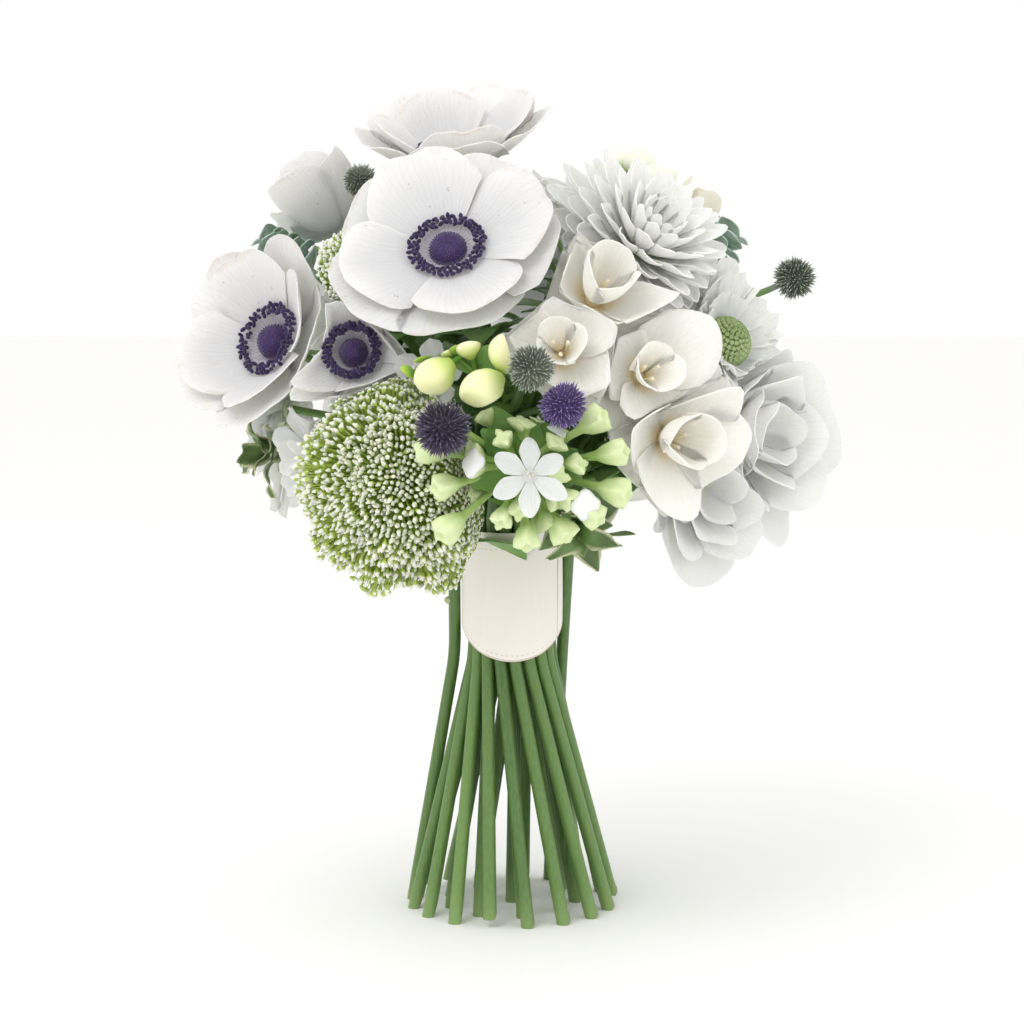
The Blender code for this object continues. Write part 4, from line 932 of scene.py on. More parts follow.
def stem_finish():
    """Green stems: streaks along their length, paler ribs, a pale cut end and a tone of their own."""
    made, tree, shader, mark, part = finish_base("stem skin", 0.40, subsurface=0.08, coat=0.2)
    space = add(tree, "TexCoord").outputs["Object"]
    long_way = add(tree, "Mapping", {"Vector": space, "Scale": (1500.0, 1500.0, 16.0)}).outputs[0]
    streak = noise(tree, long_way, 1.0, 3.0)
    colour = blend_colours(tree, ramp(tree, streak, 0.35, 0.65), rgb(0.045, 0.115, 0.020),
                           rgb(0.080, 0.175, 0.034))
    colour = blend_colours(tree, part[2], colour, rgb(0.19, 0.33, 0.08))
    low = ramp(tree, add(tree, "SeparateXYZ", {0: space}).outputs[2], 0.0, 0.016, 1.0, 0.0)
    colour = blend_colours(tree, times(tree, low, 0.45), colour, rgb(0.26, 0.38, 0.13))
    colour = blend_colours(tree, ramp(tree, part[1], 1.5, 1.9), colour, rgb(0.50, 0.55, 0.28))
    tree.links.new(colour, shader.inputs["Base Color"])
    bump(tree, shader, streak, 0.0004, 0.6)
    return made


STEM_SKIN = stem_finish()
print("green finishes are ready")


# %% [markdown]
# Dark, cloth and twine finishes
#
# The anemone's eye is nearly black with a violet sheen, so its velvet is a dark blend with a soft
# sheen. The ribbon's ribs and stitches are drawn by sines of its mark, which is in millimetres on
# the cloth. The twine is a wave in space that is tilted, like wound strands.

# %% Dark, cloth and twine finishes
def eye_finish():
    """The anemone's eye: across 0 is the velvet dome, 1 an anther, 2 a fine filament."""
    made, tree, shader, mark, part = finish_base("anemone eye", 0.72, sheen=0.35, specular=0.3)
    grain = noise(tree, add(tree, "TexCoord").outputs["Object"], 900.0)
    velvet = blend_colours(tree, grain, rgb(0.018, 0.008, 0.045), rgb(0.085, 0.045, 0.165))
    anther = blend_colours(tree, grain, rgb(0.012, 0.008, 0.035), rgb(0.05, 0.03, 0.12))
    colour = blend_colours(tree, math_node(tree, "MINIMUM", part[0], 1.0), velvet, anther)
    colour = blend_colours(tree, ramp(tree, part[0], 1.2, 1.8), colour, rgb(0.26, 0.22, 0.38))
    tree.links.new(colour, shader.inputs["Base Color"])
    bump(tree, shader, grain, 0.0005, 0.8)
    return made


HEM_STITCH = 2.1


def ribbon_finish():
    """Ivory satin ribbon, in millimetres: across, up from the lower hem, height of its upper seam."""
    made, tree, shader, mark, part = finish_base("ribbon cloth", 0.55, sheen=0.3, specular=0.4)
    fine = add(tree, "Mapping", {"Vector": mark, "Scale": (3.0, 9.0, 1.0)}).outputs[0]
    thread = noise(tree, fine, 1.0)
    rib = size_of(tree, math_node(tree, "SINE", times(tree, part[1], 4.2)))
    colour = blend_colours(tree, thread, rgb(0.94, 0.88, 0.82), rgb(0.97, 0.925, 0.875))
    hem = ramp(tree, part[1], 0.5, 0.95, 1.0, 0.0)
    colour = blend_colours(tree, times(tree, hem, 0.5), colour, rgb(0.52, 0.40, 0.28))
    rows = [ramp(tree, size_of(tree, minus(tree, part[1], level)), 0.12, 0.3, 1.0, 0.0)
            for level in (HEM_STITCH, part[2])]
    dash = ramp(tree, math_node(tree, "SINE", times(tree, part[0], 3.4)), -0.2, 0.2)
    stitch = times(tree, math_node(tree, "MAXIMUM", *rows), dash)
    colour = blend_colours(tree, times(tree, stitch, 0.45), colour, rgb(0.60, 0.50, 0.40))
    tree.links.new(colour, shader.inputs["Base Color"])
    relief = minus(tree, times(tree, rib, 0.25), stitch)
    bump(tree, shader, plus(tree, relief, times(tree, thread, 0.5)), 0.00012)
    return made


def twine_finish():
    """Brown twine wound flat: strands as slanting ridges."""
    made, tree, shader, mark, part = finish_base("twine", 0.85)
    space = add(tree, "TexCoord").outputs["Object"]
    wound = add(tree, "Mapping", {"Vector": space, "Rotation": (0.25, 0.0, 0.0)}).outputs[0]
    ridge = add(tree, "TexWave", {"Vector": wound, "Scale": 260.0, "Distortion": 2.0, "Detail": 2.0},
                bands_direction="Z").outputs["Fac"]
    colour = blend_colours(tree, ridge, rgb(0.16, 0.10, 0.05), rgb(0.45, 0.33, 0.19))
    tree.links.new(colour, shader.inputs["Base Color"])
    bump(tree, shader, ridge, 0.0006, 0.9)
    return made


EYE_VIOLET = eye_finish()
RIBBON = ribbon_finish()
TWINE = twine_finish()
print(len(bpy.data.materials), "finishes")


# %% [markdown]
# Petals
#
# A petal leaves the axis of its flower and bends evenly from one slope to another, so its midline
# is an arc. Its width grows from a narrow claw, its rim is pulled down at the sides, and ripples
# grow towards the rim. Neighbours in a ring overlap, each with one side over the next.

# %% The petal formula
ROLL_FROM, WIDENING, MARGIN_SWAY = 0.72, 1.25, 2.4


def petal(rows, cols, angle, length, width, rise, curl, *, base=2.8, lift=-HUB_DROP, inset=0.0, tip=0.14,
          sharp=2.2, claw=0.3, cap=1.0, channel=0.0, wave=0.0, ruffle=0.0, folds=2.2, phase=0.0,
          lay=0.0, notch=0.0, taper=1.0, roll=0.0):
    """A petal's middle surface in its flower's frame, from the claw to the rim.

    Slope goes from `rise` to `curl` along the arc. Reach and height are the arc's two sides.
    Half width is a sine of the way along. Height adds a channel (across squared), a slow wave,
    and a ruffle of two waves that grows with the cube of the way along. `lay` lifts one side over
    the other, and `roll` turns the last quarter outwards and down.
    """
    s = np.linspace(-1, 1, cols + 1)[None, :]
    t = np.linspace(0, 1, rows + 1)[:, None]
    along = t * (1 - tip * np.abs(s) ** sharp - notch * t**3 * np.exp(-((s / 0.16) ** 2)))
    start, end = math.radians(rise), math.radians(curl)
    slope = start + (end - start) * along
    reach = base + length * (np.sin(slope) - math.sin(start)) / (end - start) - inset * np.sin(slope)
    height = lift + length * (math.cos(start) - np.cos(slope)) / (end - start) + inset * np.cos(slope)
    edge = t**3 + 0.6 * t * np.abs(s) ** 3
    height = height + channel * s**2 * t + wave * t**2 * np.sin(1.5 * np.pi * s + phase)
    swing = np.sin(folds * np.pi * s + 3.0 * t + 2.0 * phase)
    swing = swing + 0.3 * np.sin(2.7 * folds * np.pi * s + 6.0 * t + phase)
    rolled = roll * np.maximum(0, (t - ROLL_FROM) / (1 - ROLL_FROM)) ** 2
    height = height + ruffle * edge * swing + lay * s * t - rolled
    reach = reach + 0.5 * ruffle * edge * np.cos(folds * np.pi * s + phase) + 0.6 * rolled
    half = width / 2 * (claw + (1 - claw) * np.sin(np.pi / 2 * np.minimum(1, WIDENING * along)))
    half = half * (1 - (1 - taper) * t**2.5)
    turn = angle + s * np.minimum(cap, half / (reach + 3.0))
    return np.stack([reach * np.sin(turn), reach * np.cos(turn), height], -1)


print("a petal's grid:", petal(4, 4, 0.0, 40.0, 40.0, 6.0, 28.0).shape)

# %% [markdown]
# Rings of petals
#
# Petals stand in rings, each petal a little different from the next. They could be copied and
# turned by hand. Here a seeded random generator changes the length, the bend and the sway of each,
# so that the flower looks grown and is still the same in every run.

# %% Rings of petals
def petal_marks(rows, cols, seed):
    """Marks for both sides of a petal: across, along and seed."""
    t, s = np.meshgrid(np.linspace(0, 1, rows + 1), np.linspace(-1, 1, cols + 1), indexing="ij")
    one = np.stack([s, t, np.full_like(s, seed)], -1).reshape(-1, 3)
    return np.concatenate([one, one])


def whorl(heap, place, count, length, width, rise, curl, rng, *, start=0.0, spread_by=1, cover=1.08,
          margin=0.6, rows=16, cols=16, thick=0.45, middle=(0.0, 0.0, 0.0), wave=0.8, ruffle=0.5,
          lay=0.8, **shape):
    """One ring of petals, each with its own small share of size, bend and sway."""
    for k in range(count):
        size, bend, sway = rng.uniform(0, 1, 3)
        grid = petal(rows, cols, start + (2 * np.pi * k + 0.1 * sway) / count,
                     length * (0.94 + 0.1 * size), width, rise, curl + 5 * spread_by * bend,
                     cap=cover * np.pi / count, wave=wave * (2 * bend - 1), ruffle=ruffle,
                     phase=6.0 * size + 9.0 * sway, lay=lay, **shape)
        keep = margin + MARGIN_SWAY * size * sway
        points, faces = sheet(place.world(grid + np.asarray(middle), keep), thick)
        heap.add(points, faces, petal_marks(rows, cols, sway))


def hub(heap, place, radius=4.4):
    """The knob that petals grow from: it closes the middle of the flower from behind."""
    points, faces = lathe([-1.4, -1.0, 0.0, 0.7], [1.5, 0.8 * radius, radius, 0.6 * radius], 16)
    heap.add(place.world(points), faces, (0.0, 0.0, 0.0))


print("a small petal carries", len(petal_marks(2, 2, 0.5)), "marks")

# %% [markdown]
# Anemones
#
# An anemone has two rings of broad white petals around a dark velvet dome. About a hundred violet
# anthers stand round the dome on hair-thin filaments. The petals are sheets, the dome is turned,
# and the anthers are one bead scattered in three rings.

# %% Anemone petals
# name: petals in a whorl, their length and width, first and last slope, the dome's height and
# the eye's share of full size
ANEMONES = {
    "anemone_a": (4, 42, 54, 6, 28, 6.0, 1.0),
    "anemone_b": (4, 40, 52, 14, 60, 7.5, 1.0),
    "anemone_c": (4, 31, 42, 14, 60, 7.5, 0.75),
    "anemone_d": (4, 42, 54, 16, 62, 7.0, 1.0),
    "anemone_e": (4, 36, 46, 24, 76, 7.5, 0.42),
    "anemone_f": (4, 42, 54, 8, 34, 6.0, 1.0),
}
WHORL_INSET, PETAL = 1.9, 0.8
DOME_RADIUS, PAPILLAE = 6.4, 230
ANTHERS, RING_RADIUS, RING_STEP = 108, 10.2, 1.25
FILAMENT_FOOT, FILAMENT_SLIMNESS = 3.0, 0.05 / 6
FLAT_RISE, CUPPED_RISE, CUPPED_FROM = 3.4, 5.8, 12
TOP_FACING = (-14, 70)
places["anemone_d"].axes = axes_for(direction(*TOP_FACING))


def anemone_petals(name):
    """Two whorls of the solid's own petals, finer and overlapping."""
    place = places[name]
    count, length, width, rise, curl, _, _ = ANEMONES[name]
    rng = np.random.default_rng(len(name) + int(place.radius))
    heap = Heap()
    whorl(heap, place, count + 1, length, width * 1.1, rise - 4, curl - 6, rng, start=0.3, spread_by=-1,
          margin=0.5, rows=18, cols=20, ruffle=0.6, wave=1.6, notch=0.015, cover=1.15, roll=1.2, tip=0.26,
          sharp=2.6)
    whorl(heap, place, count, length * 0.93, width, rise, curl, rng, start=0.3 + np.pi / count,
          inset=WHORL_INSET, margin=1.6, rows=18, cols=20, ruffle=0.5, wave=1.2, cover=1.0, notch=0.02,
          roll=1.0, tip=0.3, sharp=2.6)
    hub(heap, place)
    return heap

# %% [markdown]
# Anemone eyes
#
# The eye is a velvet dome with a ring of anthers, each on its own thread. Particle hair could make
# them, but it would not be exported. The dome is turned from a profile, and beads and spikes are
# scattered round it, three deep, with small random shifts.

# %% Anemone eyes
def anemone_eye(name):
    """A velvet dome, a ring of anthers about it, and a filament under each."""
    place = places[name]
    rise_angle, _, tall, size = ANEMONES[name][3:]
    foot = WHORL_INSET - HUB_DROP + PETAL / 2 + GAP
    rise = FLAT_RISE if rise_angle < CUPPED_FROM else CUPPED_RISE
    rng = np.random.default_rng(len(name) + 40)
    heap = Heap()
    t = np.linspace(0, np.pi / 2, 12)
    points, faces = lathe(foot - 0.6 + (tall + 0.6) * np.sin(t),
                          DOME_RADIUS * size * np.cos(t) ** 0.8 + 0.05, 28)
    heap.add(place.world(points), faces, (0.0, 0.5, 0.0))
    heads = dome(PAPILLAE, 0.12)
    under = (DOME_RADIUS - 0.2) * size
    spots = heads * (under, under, tall) + (0, 0, foot)
    heap.scatter(spine(0.42), spots, heads, 0.75, adjust=place.world, marks=(0.0, 0.0, 0.0))
    turn = np.arange(ANTHERS) * 2 * np.pi / ANTHERS + rng.uniform(-0.03, 0.03, ANTHERS)
    stagger = RING_STEP * (np.arange(ANTHERS) % 3)
    ring = size * (RING_RADIUS + stagger + rng.uniform(-0.35, 0.35, ANTHERS))
    high = foot + rise * rng.uniform(0.75, 1.15, ANTHERS)
    spots = np.stack([ring * np.cos(turn), ring * np.sin(turn), high], 1)
    lean = unit(rng.normal(0, 1, (ANTHERS, 3)) + (0, 0, 0.8))
    heap.scatter(bead(6, 4, 1.6), spots, lean, 0.8, adjust=place.world, marks=(1.0, 1.0, 1.0))
    inner = FILAMENT_FOOT * size
    root = np.stack([inner * np.cos(turn), inner * np.sin(turn), np.full(ANTHERS, foot)], 1)
    away = spots - root
    heap.scatter(spine(FILAMENT_SLIMNESS), root, unit(away), np.linalg.norm(away, axis=1),
                 adjust=place.world, marks=(2.0, 2.0, 2.0))
    return heap


for name in ANEMONES:
    anemone_petals(name).make(name + "_corolla", ANEMONE_WHITE, "anemone_petals", name + "_petals")
    anemone_eye(name).make(name + "_eye", EYE_VIOLET, "anemone_centre", name + "_centre")

# %% [markdown]
# Dahlias, lisianthus and freesias
#
# These are layered blooms. Each is a stack of whorls whose petals get shorter and steeper towards
# the middle, so one function that reads a small table does for all of them. The solids hold a few
# whorls; here whorls between them close the gaps.

# %% Layered blooms
# rows: petals, their length and width, first and last slope, base, lift and inset
DAHLIA = ((10, 40, 17, -12, 4, 4.6, -0.6, 0), (9, 36, 16, 8, 20, 4.6, 1.6, 0),
          (8, 27, 14, 30, 46, 3.8, 4.2, 0), (6, 17, 11, 54, 92, 3.0, 6.6, 0))
SMALL_SHARE = 0.8
LISIANTHUS = ((4, 44, 58, 2, 52, 2.8, -HUB_DROP, 0), (4, 37, 48, 16, 78, 3.3, -HUB_DROP, 1.4),
              (3, 27, 38, 36, 104, 4.4, -HUB_DROP, 2.9))


def layers(table, steps):
    """Rows of a table at even steps through it, blended between the two nearest."""
    table = np.array(table, float)
    at = np.linspace(0, len(table) - 1, steps)
    return np.stack([np.interp(at, np.arange(len(table)), column) for column in table.T], 1)


def layered(name, table, steps, extra, margin_step, **shape):
    """Whorls from the outside in, each turned half a petal against the last."""
    place = places[name]
    rng = np.random.default_rng(int(place.radius) * 7 + len(name))
    heap = Heap()
    for level, (count, length, width, rise, curl, base, lift, inset) in enumerate(layers(table, steps)):
        count = int(round(count)) + extra
        whorl(heap, place, count, length, width, rise, curl, rng, start=2.4 * level, base=base,
              lift=lift, inset=inset, spread_by=2 * (level > 0) - 1,
              margin=0.5 + margin_step * level, **shape)
    hub(heap, place)
    return heap


for name in ("dahlia_a", "dahlia_b"):
    bloom = layered(name, DAHLIA, 8, 4, 0.4, rows=12, cols=8, tip=0.34, sharp=1.7, claw=0.5, channel=2.6,
                    taper=0.7, lay=0.4, ruffle=0.12, wave=0.3, cover=1.5)
    bloom.make(name + "_petals", DAHLIA_WHITE, "dahlia", name + "_bloom")
for name in ("lisianthus_a", "lisianthus_b", "lisianthus_c"):
    share = SMALL_SHARE if name == "lisianthus_b" else 1.0
    table = [(row[0], share * row[1], share * row[2], *row[3:]) for row in LISIANTHUS]
    bloom = layered(name, table, 4, 0, 0.9, rows=18, cols=22, tip=0.3, sharp=2.4, claw=0.4, lay=1.8,
                    ruffle=0.8, folds=1.5, wave=2.4, cover=1.3, roll=2.4)
    bloom.make(name + "_petals", LISIANTHUS_WHITE, "lisianthus", name + "_bloom")


# %% [markdown]
# Freesias
#
# A freesia is an ivory funnel of broad tepals with a golden throat and pale stamens. Two of the
# front ones are fully open. The outer tepals press into their neighbours a little, as in a tight
# bunch, which also hides the dark lines that would show between flowers.

# %% Freesias
FULL_FREESIAS = ("freesia_a2", "freesia_b2")
PRESSED = 1.1


def freesia(name):
    """A funnel of tepals: three broad ones spread out, three above them, and a cup of three."""
    place = places[name]
    rng = np.random.default_rng(int(place.radius) * 7 + len(name))
    heap = Heap()
    rings = ((4, 34, 46, 22, 6), (3, 31, 44, 38, 30), (3, 21, 28, 56, 82))
    if name in FULL_FREESIAS:
        rings = ((5, 38, 50, 10, 22), (4, 34, 46, 30, 58), (3, 28, 40, 50, 96))
    for level, (count, length, width, rise, curl) in enumerate(rings):
        start = level * np.pi / 3 + 0.7 * len(name) * place.azimuth
        whorl(heap, place, count, length, width, rise, curl, rng, start=start, base=3.6 - 0.5 * level,
              inset=0.9 * level, tip=0.34, sharp=2.4, claw=0.46, cover=1.25, rows=16, cols=18,
              ruffle=0.45, folds=1.7, wave=1.8, lay=1.6, margin=0.9 * level - PRESSED, roll=1.2)
    t = np.linspace(0, 1, 8)[:, None]
    for k in range(3):
        turn = 2.1 * k + 0.5
        reach = 1.2 + 1.6 * t[:, 0]
        path = np.stack([reach * math.cos(turn), reach * math.sin(turn), 1.0 + 9.0 * t[:, 0]], 1)
        points, faces = tube(path, 0.3 + 0.35 * (t[:, 0] > 0.7), 6)
        heap.add(place.world(points), faces, (0.0, 0.12, 0.5))
    hub(heap, place, 4.6)
    return heap


for name in ("freesia_a1", "freesia_a2", "freesia_b1", "freesia_b2", "freesia_c"):
    freesia(name).make(name + "_tepals", FREESIA_IVORY, "freesia", name + "_bloom")

# %% [markdown]
# Scabiosas, the star and the rosebud
#
# A scabiosa is a green pincushion inside ruffled ivory petals. The bouvardia has one floret open,
# a waxy six-pointed star, and the rosebud is a few petals rolled round each other.

# %% Scabiosas
def scabiosa(name):
    """Broad ruffled petals around small frilled ones."""
    place = places[name]
    rng = np.random.default_rng(int(place.radius) * 7 + len(name))
    heap = Heap()
    whorl(heap, place, 9, 42, 36, -8, 10, rng, base=3.4, tip=0.22, claw=0.4, channel=1.2, cover=1.25,
          rows=14, cols=18, ruffle=1.1, folds=3.0, wave=1.4, lay=1.2, margin=0.5, notch=0.06)
    whorl(heap, place, 8, 26, 24, 6, 26, rng, start=0.4, base=3.8, inset=1.0, tip=0.12, claw=0.4,
          channel=1.0, cover=1.15, rows=12, cols=14, ruffle=1.1, folds=3.0, wave=1.0, lay=0.9, margin=1.1,
          notch=0.08)
    whorl(heap, place, 12, 14, 10, 14, 44, rng, base=5.5, lift=0.6, tip=0.1, claw=0.5, channel=0.8,
          rows=8, cols=8, ruffle=0.7, folds=2.4, margin=1.6, notch=0.1, lay=0.5)
    hub(heap, place)
    return heap


def scabiosa_button(name):
    """A dome of green florets, each a bead under a small star, on a green knob."""
    place = places[name]
    foot = RECEPTACLE + GAP - HUB_DROP
    heads = dome(120, 0.05)
    spots = heads * (8.0, 8.0, 7.0) + (0, 0, foot + 0.6)
    heap = Heap()
    t = np.linspace(0, np.pi / 2, 8)
    points, faces = lathe(foot + 7.2 * np.sin(t), 7.8 * np.cos(t) + 0.05, 20)
    heap.add(place.world(points), faces, (0.0, 0.2, 0.0))
    heap.scatter(bead(6, 4, 1.2), spots, heads, 0.95, 0.4, adjust=place.world)
    heap.scatter(floret(5, 0.9, 0.4), spots + heads * 0.9, heads, 1.15, 0.6, adjust=place.world)
    return heap


for name in ("scabiosa_a", "scabiosa_b"):
    scabiosa(name).make(name + "_ruffles", SCABIOSA_IVORY, "scabiosa_petals", name + "_petals")
    scabiosa_button(name).make(name + "_button", BUTTON_GREEN, "scabiosa_centre", name + "_centre")

# %% [markdown]
# Star and rosebud
#
# The open bouvardia floret is waxy white with six pointed petals, and three square white buds
# stand by it. The rosebud is three rings of cream petals that curl over its middle. Both use the
# same ring of petals as the larger flowers, on a smaller scale.

# %% Star and rosebud
STAR_SPOT = np.array([1.5, -2.0, 17.0])
heap, place = Heap(), places["bouvardia"]
whorl(heap, place, 6, 12.5, 10.5, 14, 2, np.random.default_rng(4), base=1.4, tip=0.42, sharp=2.0,
      claw=0.45, cover=0.95, rows=14, cols=12, ruffle=0.12, wave=0.2, lay=0.3, thick=0.7,
      middle=STAR_SPOT + (0, 0, 7.0), margin=0.4, channel=0.6)
points, faces = lathe([0, 3, 6, 7.2], [1.2, 1.5, 1.9, 2.2], 12)
heap.add(place.world(points + STAR_SPOT), faces, (0.0, 0.6, 0.3))
heap.scatter(bead(6, 4, 1.0), STAR_SPOT + np.array([[0, 0, 7.6], [0.9, 0.3, 7.4], [-0.5, 0.8, 7.4]]),
             np.array([[0, 0, 1.0]] * 3), 0.8, adjust=place.world, marks=(0.0, 0.02, 0.3))
for spot in ((16.0, 18.0, 18.0), (-18.5, 2.5, 20.0), (20.0, -12.0, 18.0)):
    points, faces = lathe([-6, -3, 0, 2.6, 4.4, 5.0], [1.6, 2.8, 4.6, 5.0, 4.2, 2.6], 24, 4,
                          np.array([0, 0.03, 0.1, 0.12, 0.1, 0.05]))
    heap.add(place.world(points + np.array(spot)), faces, (0.0, 0.7, 0.5))
heap.make("bouvardia_open_floret", STAR_WHITE, "star", "bouvardia_star")

heap, place = Heap(), places["buds_c"]
for level, (length, rise, curl) in enumerate(((20, 44, 100), (17, 60, 110), (13, 72, 120))):
    whorl(heap, place, 3, length, 17 - 2 * level, rise, curl, np.random.default_rng(3 + level),
          start=1.05 * level, base=2.8 - 0.5 * level, tip=0.2, claw=0.45, cover=1.3, rows=14, cols=14,
          ruffle=0.25, wave=0.4, lay=0.9, inset=0.9 * level, margin=0.5 + 0.6 * level)
points, faces = lathe([0, 3, 8, 12, 13.5], [2.2, 3.2, 3.0, 1.6, 0.3], 14)
heap.add(place.world(points), faces, (0.0, 0.5, 0.0))
hub(heap, place, 3.4)
heap.make("rosebud_petals", ROSEBUD_CREAM, "rosebud", "buds_c_bloom")

# %% [markdown]
# Stems
#
# Each stem is a tube along its path, rounded at the corners. It is a little thicker at the foot,
# where it has stood in water, with a faint joint just above, and it was cut on a slant.

# %% Round stems
def rounded(path, reach=7.0, steps=7):
    """The path with each corner replaced by an arc: a parabola between points near the corner."""
    out = [path[:1]]
    t = np.linspace(0, 1, steps)[:, None]
    for a, b, c in zip(path[:-2], path[1:-1], path[2:]):
        before = min(reach, 0.42 * np.linalg.norm(a - b))
        after = min(reach, 0.42 * np.linalg.norm(c - b))
        start, end = b + before * unit(a - b), b + after * unit(c - b)
        out.append((1 - t) ** 2 * start + 2 * t * (1 - t) * b + t**2 * end)
    return np.concatenate(out + [path[-1:]])


def refine(path, spacing=5.0):
    """Points put in so that none are further apart than `spacing`."""
    length = np.append(0, np.cumsum(np.linalg.norm(np.diff(path, axis=0), axis=1)))
    at = np.unique(np.concatenate([length, np.arange(0, length[-1], spacing)]))
    return np.stack([np.interp(at, length, column) for column in path.T], 1), at


corner = np.array([[0.0, 0.0, 0.0], [0.0, 0.0, 50.0], [50.0, 0.0, 50.0]])
print("a path of three corners becomes", len(rounded(corner)), "points")

# %% [markdown]
# Every stem
#
# A stem could be a Curve object with a bevel. A tube from arrays gives the same round skin, and
# lets the foot swell, the joint stand out and the cut end slant.

# %% Every stem
def stalk(plant, heap, seed):
    """The plant's own stem and its forks."""
    heads = PLANTS[plant]
    low, main = lows[plant], highs[heads[0]]
    corners = np.concatenate([low, main[1:]])
    radii = [STEM_RADIUS * FOOT_GROWTH] + [STEM_RADIUS] * 3 + [2.0, NECK_RADIUS]
    length = np.append(0, np.cumsum(np.linalg.norm(np.diff(corners, axis=0), axis=1)))
    upper = rounded(corners[2:], 16.0)
    path, at = refine(np.concatenate([rounded(corners[:3]), upper]))
    radius = np.interp(at, length * at[-1] / length[-1], radii)
    radius = radius * 0.97 + 0.28 * np.exp(-((path[:, 2] - path[0, 2] - 12.0) / 1.6) ** 2)
    points, faces = tube(path, radius, 12)
    ring = points[:12]
    lift = CUT_SLANT * ((ring - path[0]) @ unit(ring[8] - path[0])) / radius[0]
    ring[:, 2] = SHORT_STEMS.get(plant, 0.0) + np.maximum(0, lift)
    points[len(path) * 12] = ring.mean(axis=0)
    marks = np.zeros_like(points)
    marks[:, 2] = seed
    heap.add(points, faces, marks)
    for head in heads[1:]:
        branch = highs[head].copy()
        branch[0] = path[np.argmin(np.linalg.norm(path - branch[0], axis=1))]
        twig, at = refine(rounded(branch, 14.0))
        points, faces = tube(twig, np.full(len(twig), FORK_RADIUS), 8)
        heap.add(points, faces, (0.0, 0.0, seed))
    return path


rng = np.random.default_rng(11)
stem_lines = {}
for plant in PLANTS:
    heap = Heap()
    stem_lines[plant] = stalk(plant, heap, rng.uniform(0, 0.75))
    if plant == "foliage_a":
        share = (114.0 - lows[plant][1][2]) / (lows[plant][2][2] - lows[plant][1][2])
        spot = lows[plant][1] + share * (lows[plant][2] - lows[plant][1]) + 2.2 * direction(-80, 0)
        heap.scatter(bead(8, 6, 1.2), spot[None], direction(-80, 0)[None], 1.5, marks=(0.0, 3.0, 0.3))
    heap.make(plant + "_stalk", STEM_SKIN, "stem", plant + "_stem")

# %% [markdown]
# Leaves
#
# A leaf is a sheet whose half width swells and closes along its length. Pointed ones fold a little
# along the middle, round ones are dished. The bouquet has blue-green round leaves on the left,
# cream-edged ones under the head, and small plain ones between the flowers.

# %% The leaf formula
def leaf(root, heading, length, width, pointed, rows=14, cols=8, droop=0.16, wavy=0.5, phase=0.0):
    """A leaf's middle surface: straight along its heading, arched by a sine, folded by across squared."""
    heading = unit(np.asarray(heading, float))
    side = unit(np.cross(heading, (0.0, 0.0, 1.0)) + (1e-6, 0, 0))
    raised = np.cross(side, heading)
    t = np.linspace(0, 1, rows + 1)[:, None]
    s = np.linspace(-1, 1, cols + 1)[None, :]
    if pointed:
        half = width / 2 * (0.06 + 0.96 * np.sin(np.pi * t**0.8)) + 0.1
    else:
        half = width / 2 * (0.08 + np.sqrt(np.clip(1 - (2 * t**0.9 - 1) ** 2, 0, 1)))
    lift = droop * length * np.sin(np.pi * t) + 0.12 * width * s**2 * (1 - t)
    lift = lift + wavy * np.abs(s) ** 2 * np.sin(11.0 * t + phase + 2.0 * s)
    return (np.asarray(root, float) + (0.3 + length * t)[..., None] * heading
            + (half * s)[..., None] * side + lift[..., None] * raised)


def add_leaf(heap, grid, seed, thick=0.45):
    """A leaf's grid as a closed sheet."""
    rows, cols = grid.shape[0] - 1, grid.shape[1] - 1
    points, faces = sheet(grid, thick)
    heap.add(points, faces, petal_marks(rows, cols, seed))


print("a leaf's grid:", leaf((0, 0, 0), (0, -1, 0.2), 24, 14, True).shape)


# %% [markdown]
# Eucalyptus
#
# The eucalyptus has round, powdery, blue-green leaves set close on the twig. Each level is turned
# against the last and is smaller towards the tip, so a loop over levels makes the whole sprig.

# %% Eucalyptus
def eucalyptus(name):
    """Rings of three round leaves, each ring turned against the last and smaller towards the tip."""
    place = places[name]
    reach = place.radius * 1.1
    heap = Heap()
    path = np.linspace((0, 0, -2.0), (0, 0, reach * 0.78), 8)
    points, faces = tube(path, np.linspace(1.5, 0.7, 8), 8)
    heap.add(place.world(points), faces, (0.0, 0.0, 0.2))
    levels = 6 if place.radius > 20 else 4
    for k in range(levels + 1):
        height = reach * (0.05 + 0.68 * k / levels)
        size = 14.0 - 0.9 * k
        for leaf_turn in range(3):
            turn = 1.1 * k + 0.3 + 2.1 * leaf_turn
            heading = (math.cos(turn), math.sin(turn), 0.25 + 0.13 * k)
            grid = leaf((0, 0, height), heading, size, 0.95 * size, False, wavy=0.25, phase=k + leaf_turn)
            add_leaf(heap, place.world(grid, 0.5), 0.2 * k)
    return heap


for name in ("eucalyptus_a", "eucalyptus_b"):
    eucalyptus(name).make(name + "_leaves", EUCALYPTUS_BLUE, "eucalyptus", name + "_stem")


# %% [markdown]
# Cream-edged leaves
#
# Long pointed leaves with a pale wavy rim look out under the flowers. The rim belongs to the
# finish, which reads how far across the leaf a point is; the waves belong to the shape.

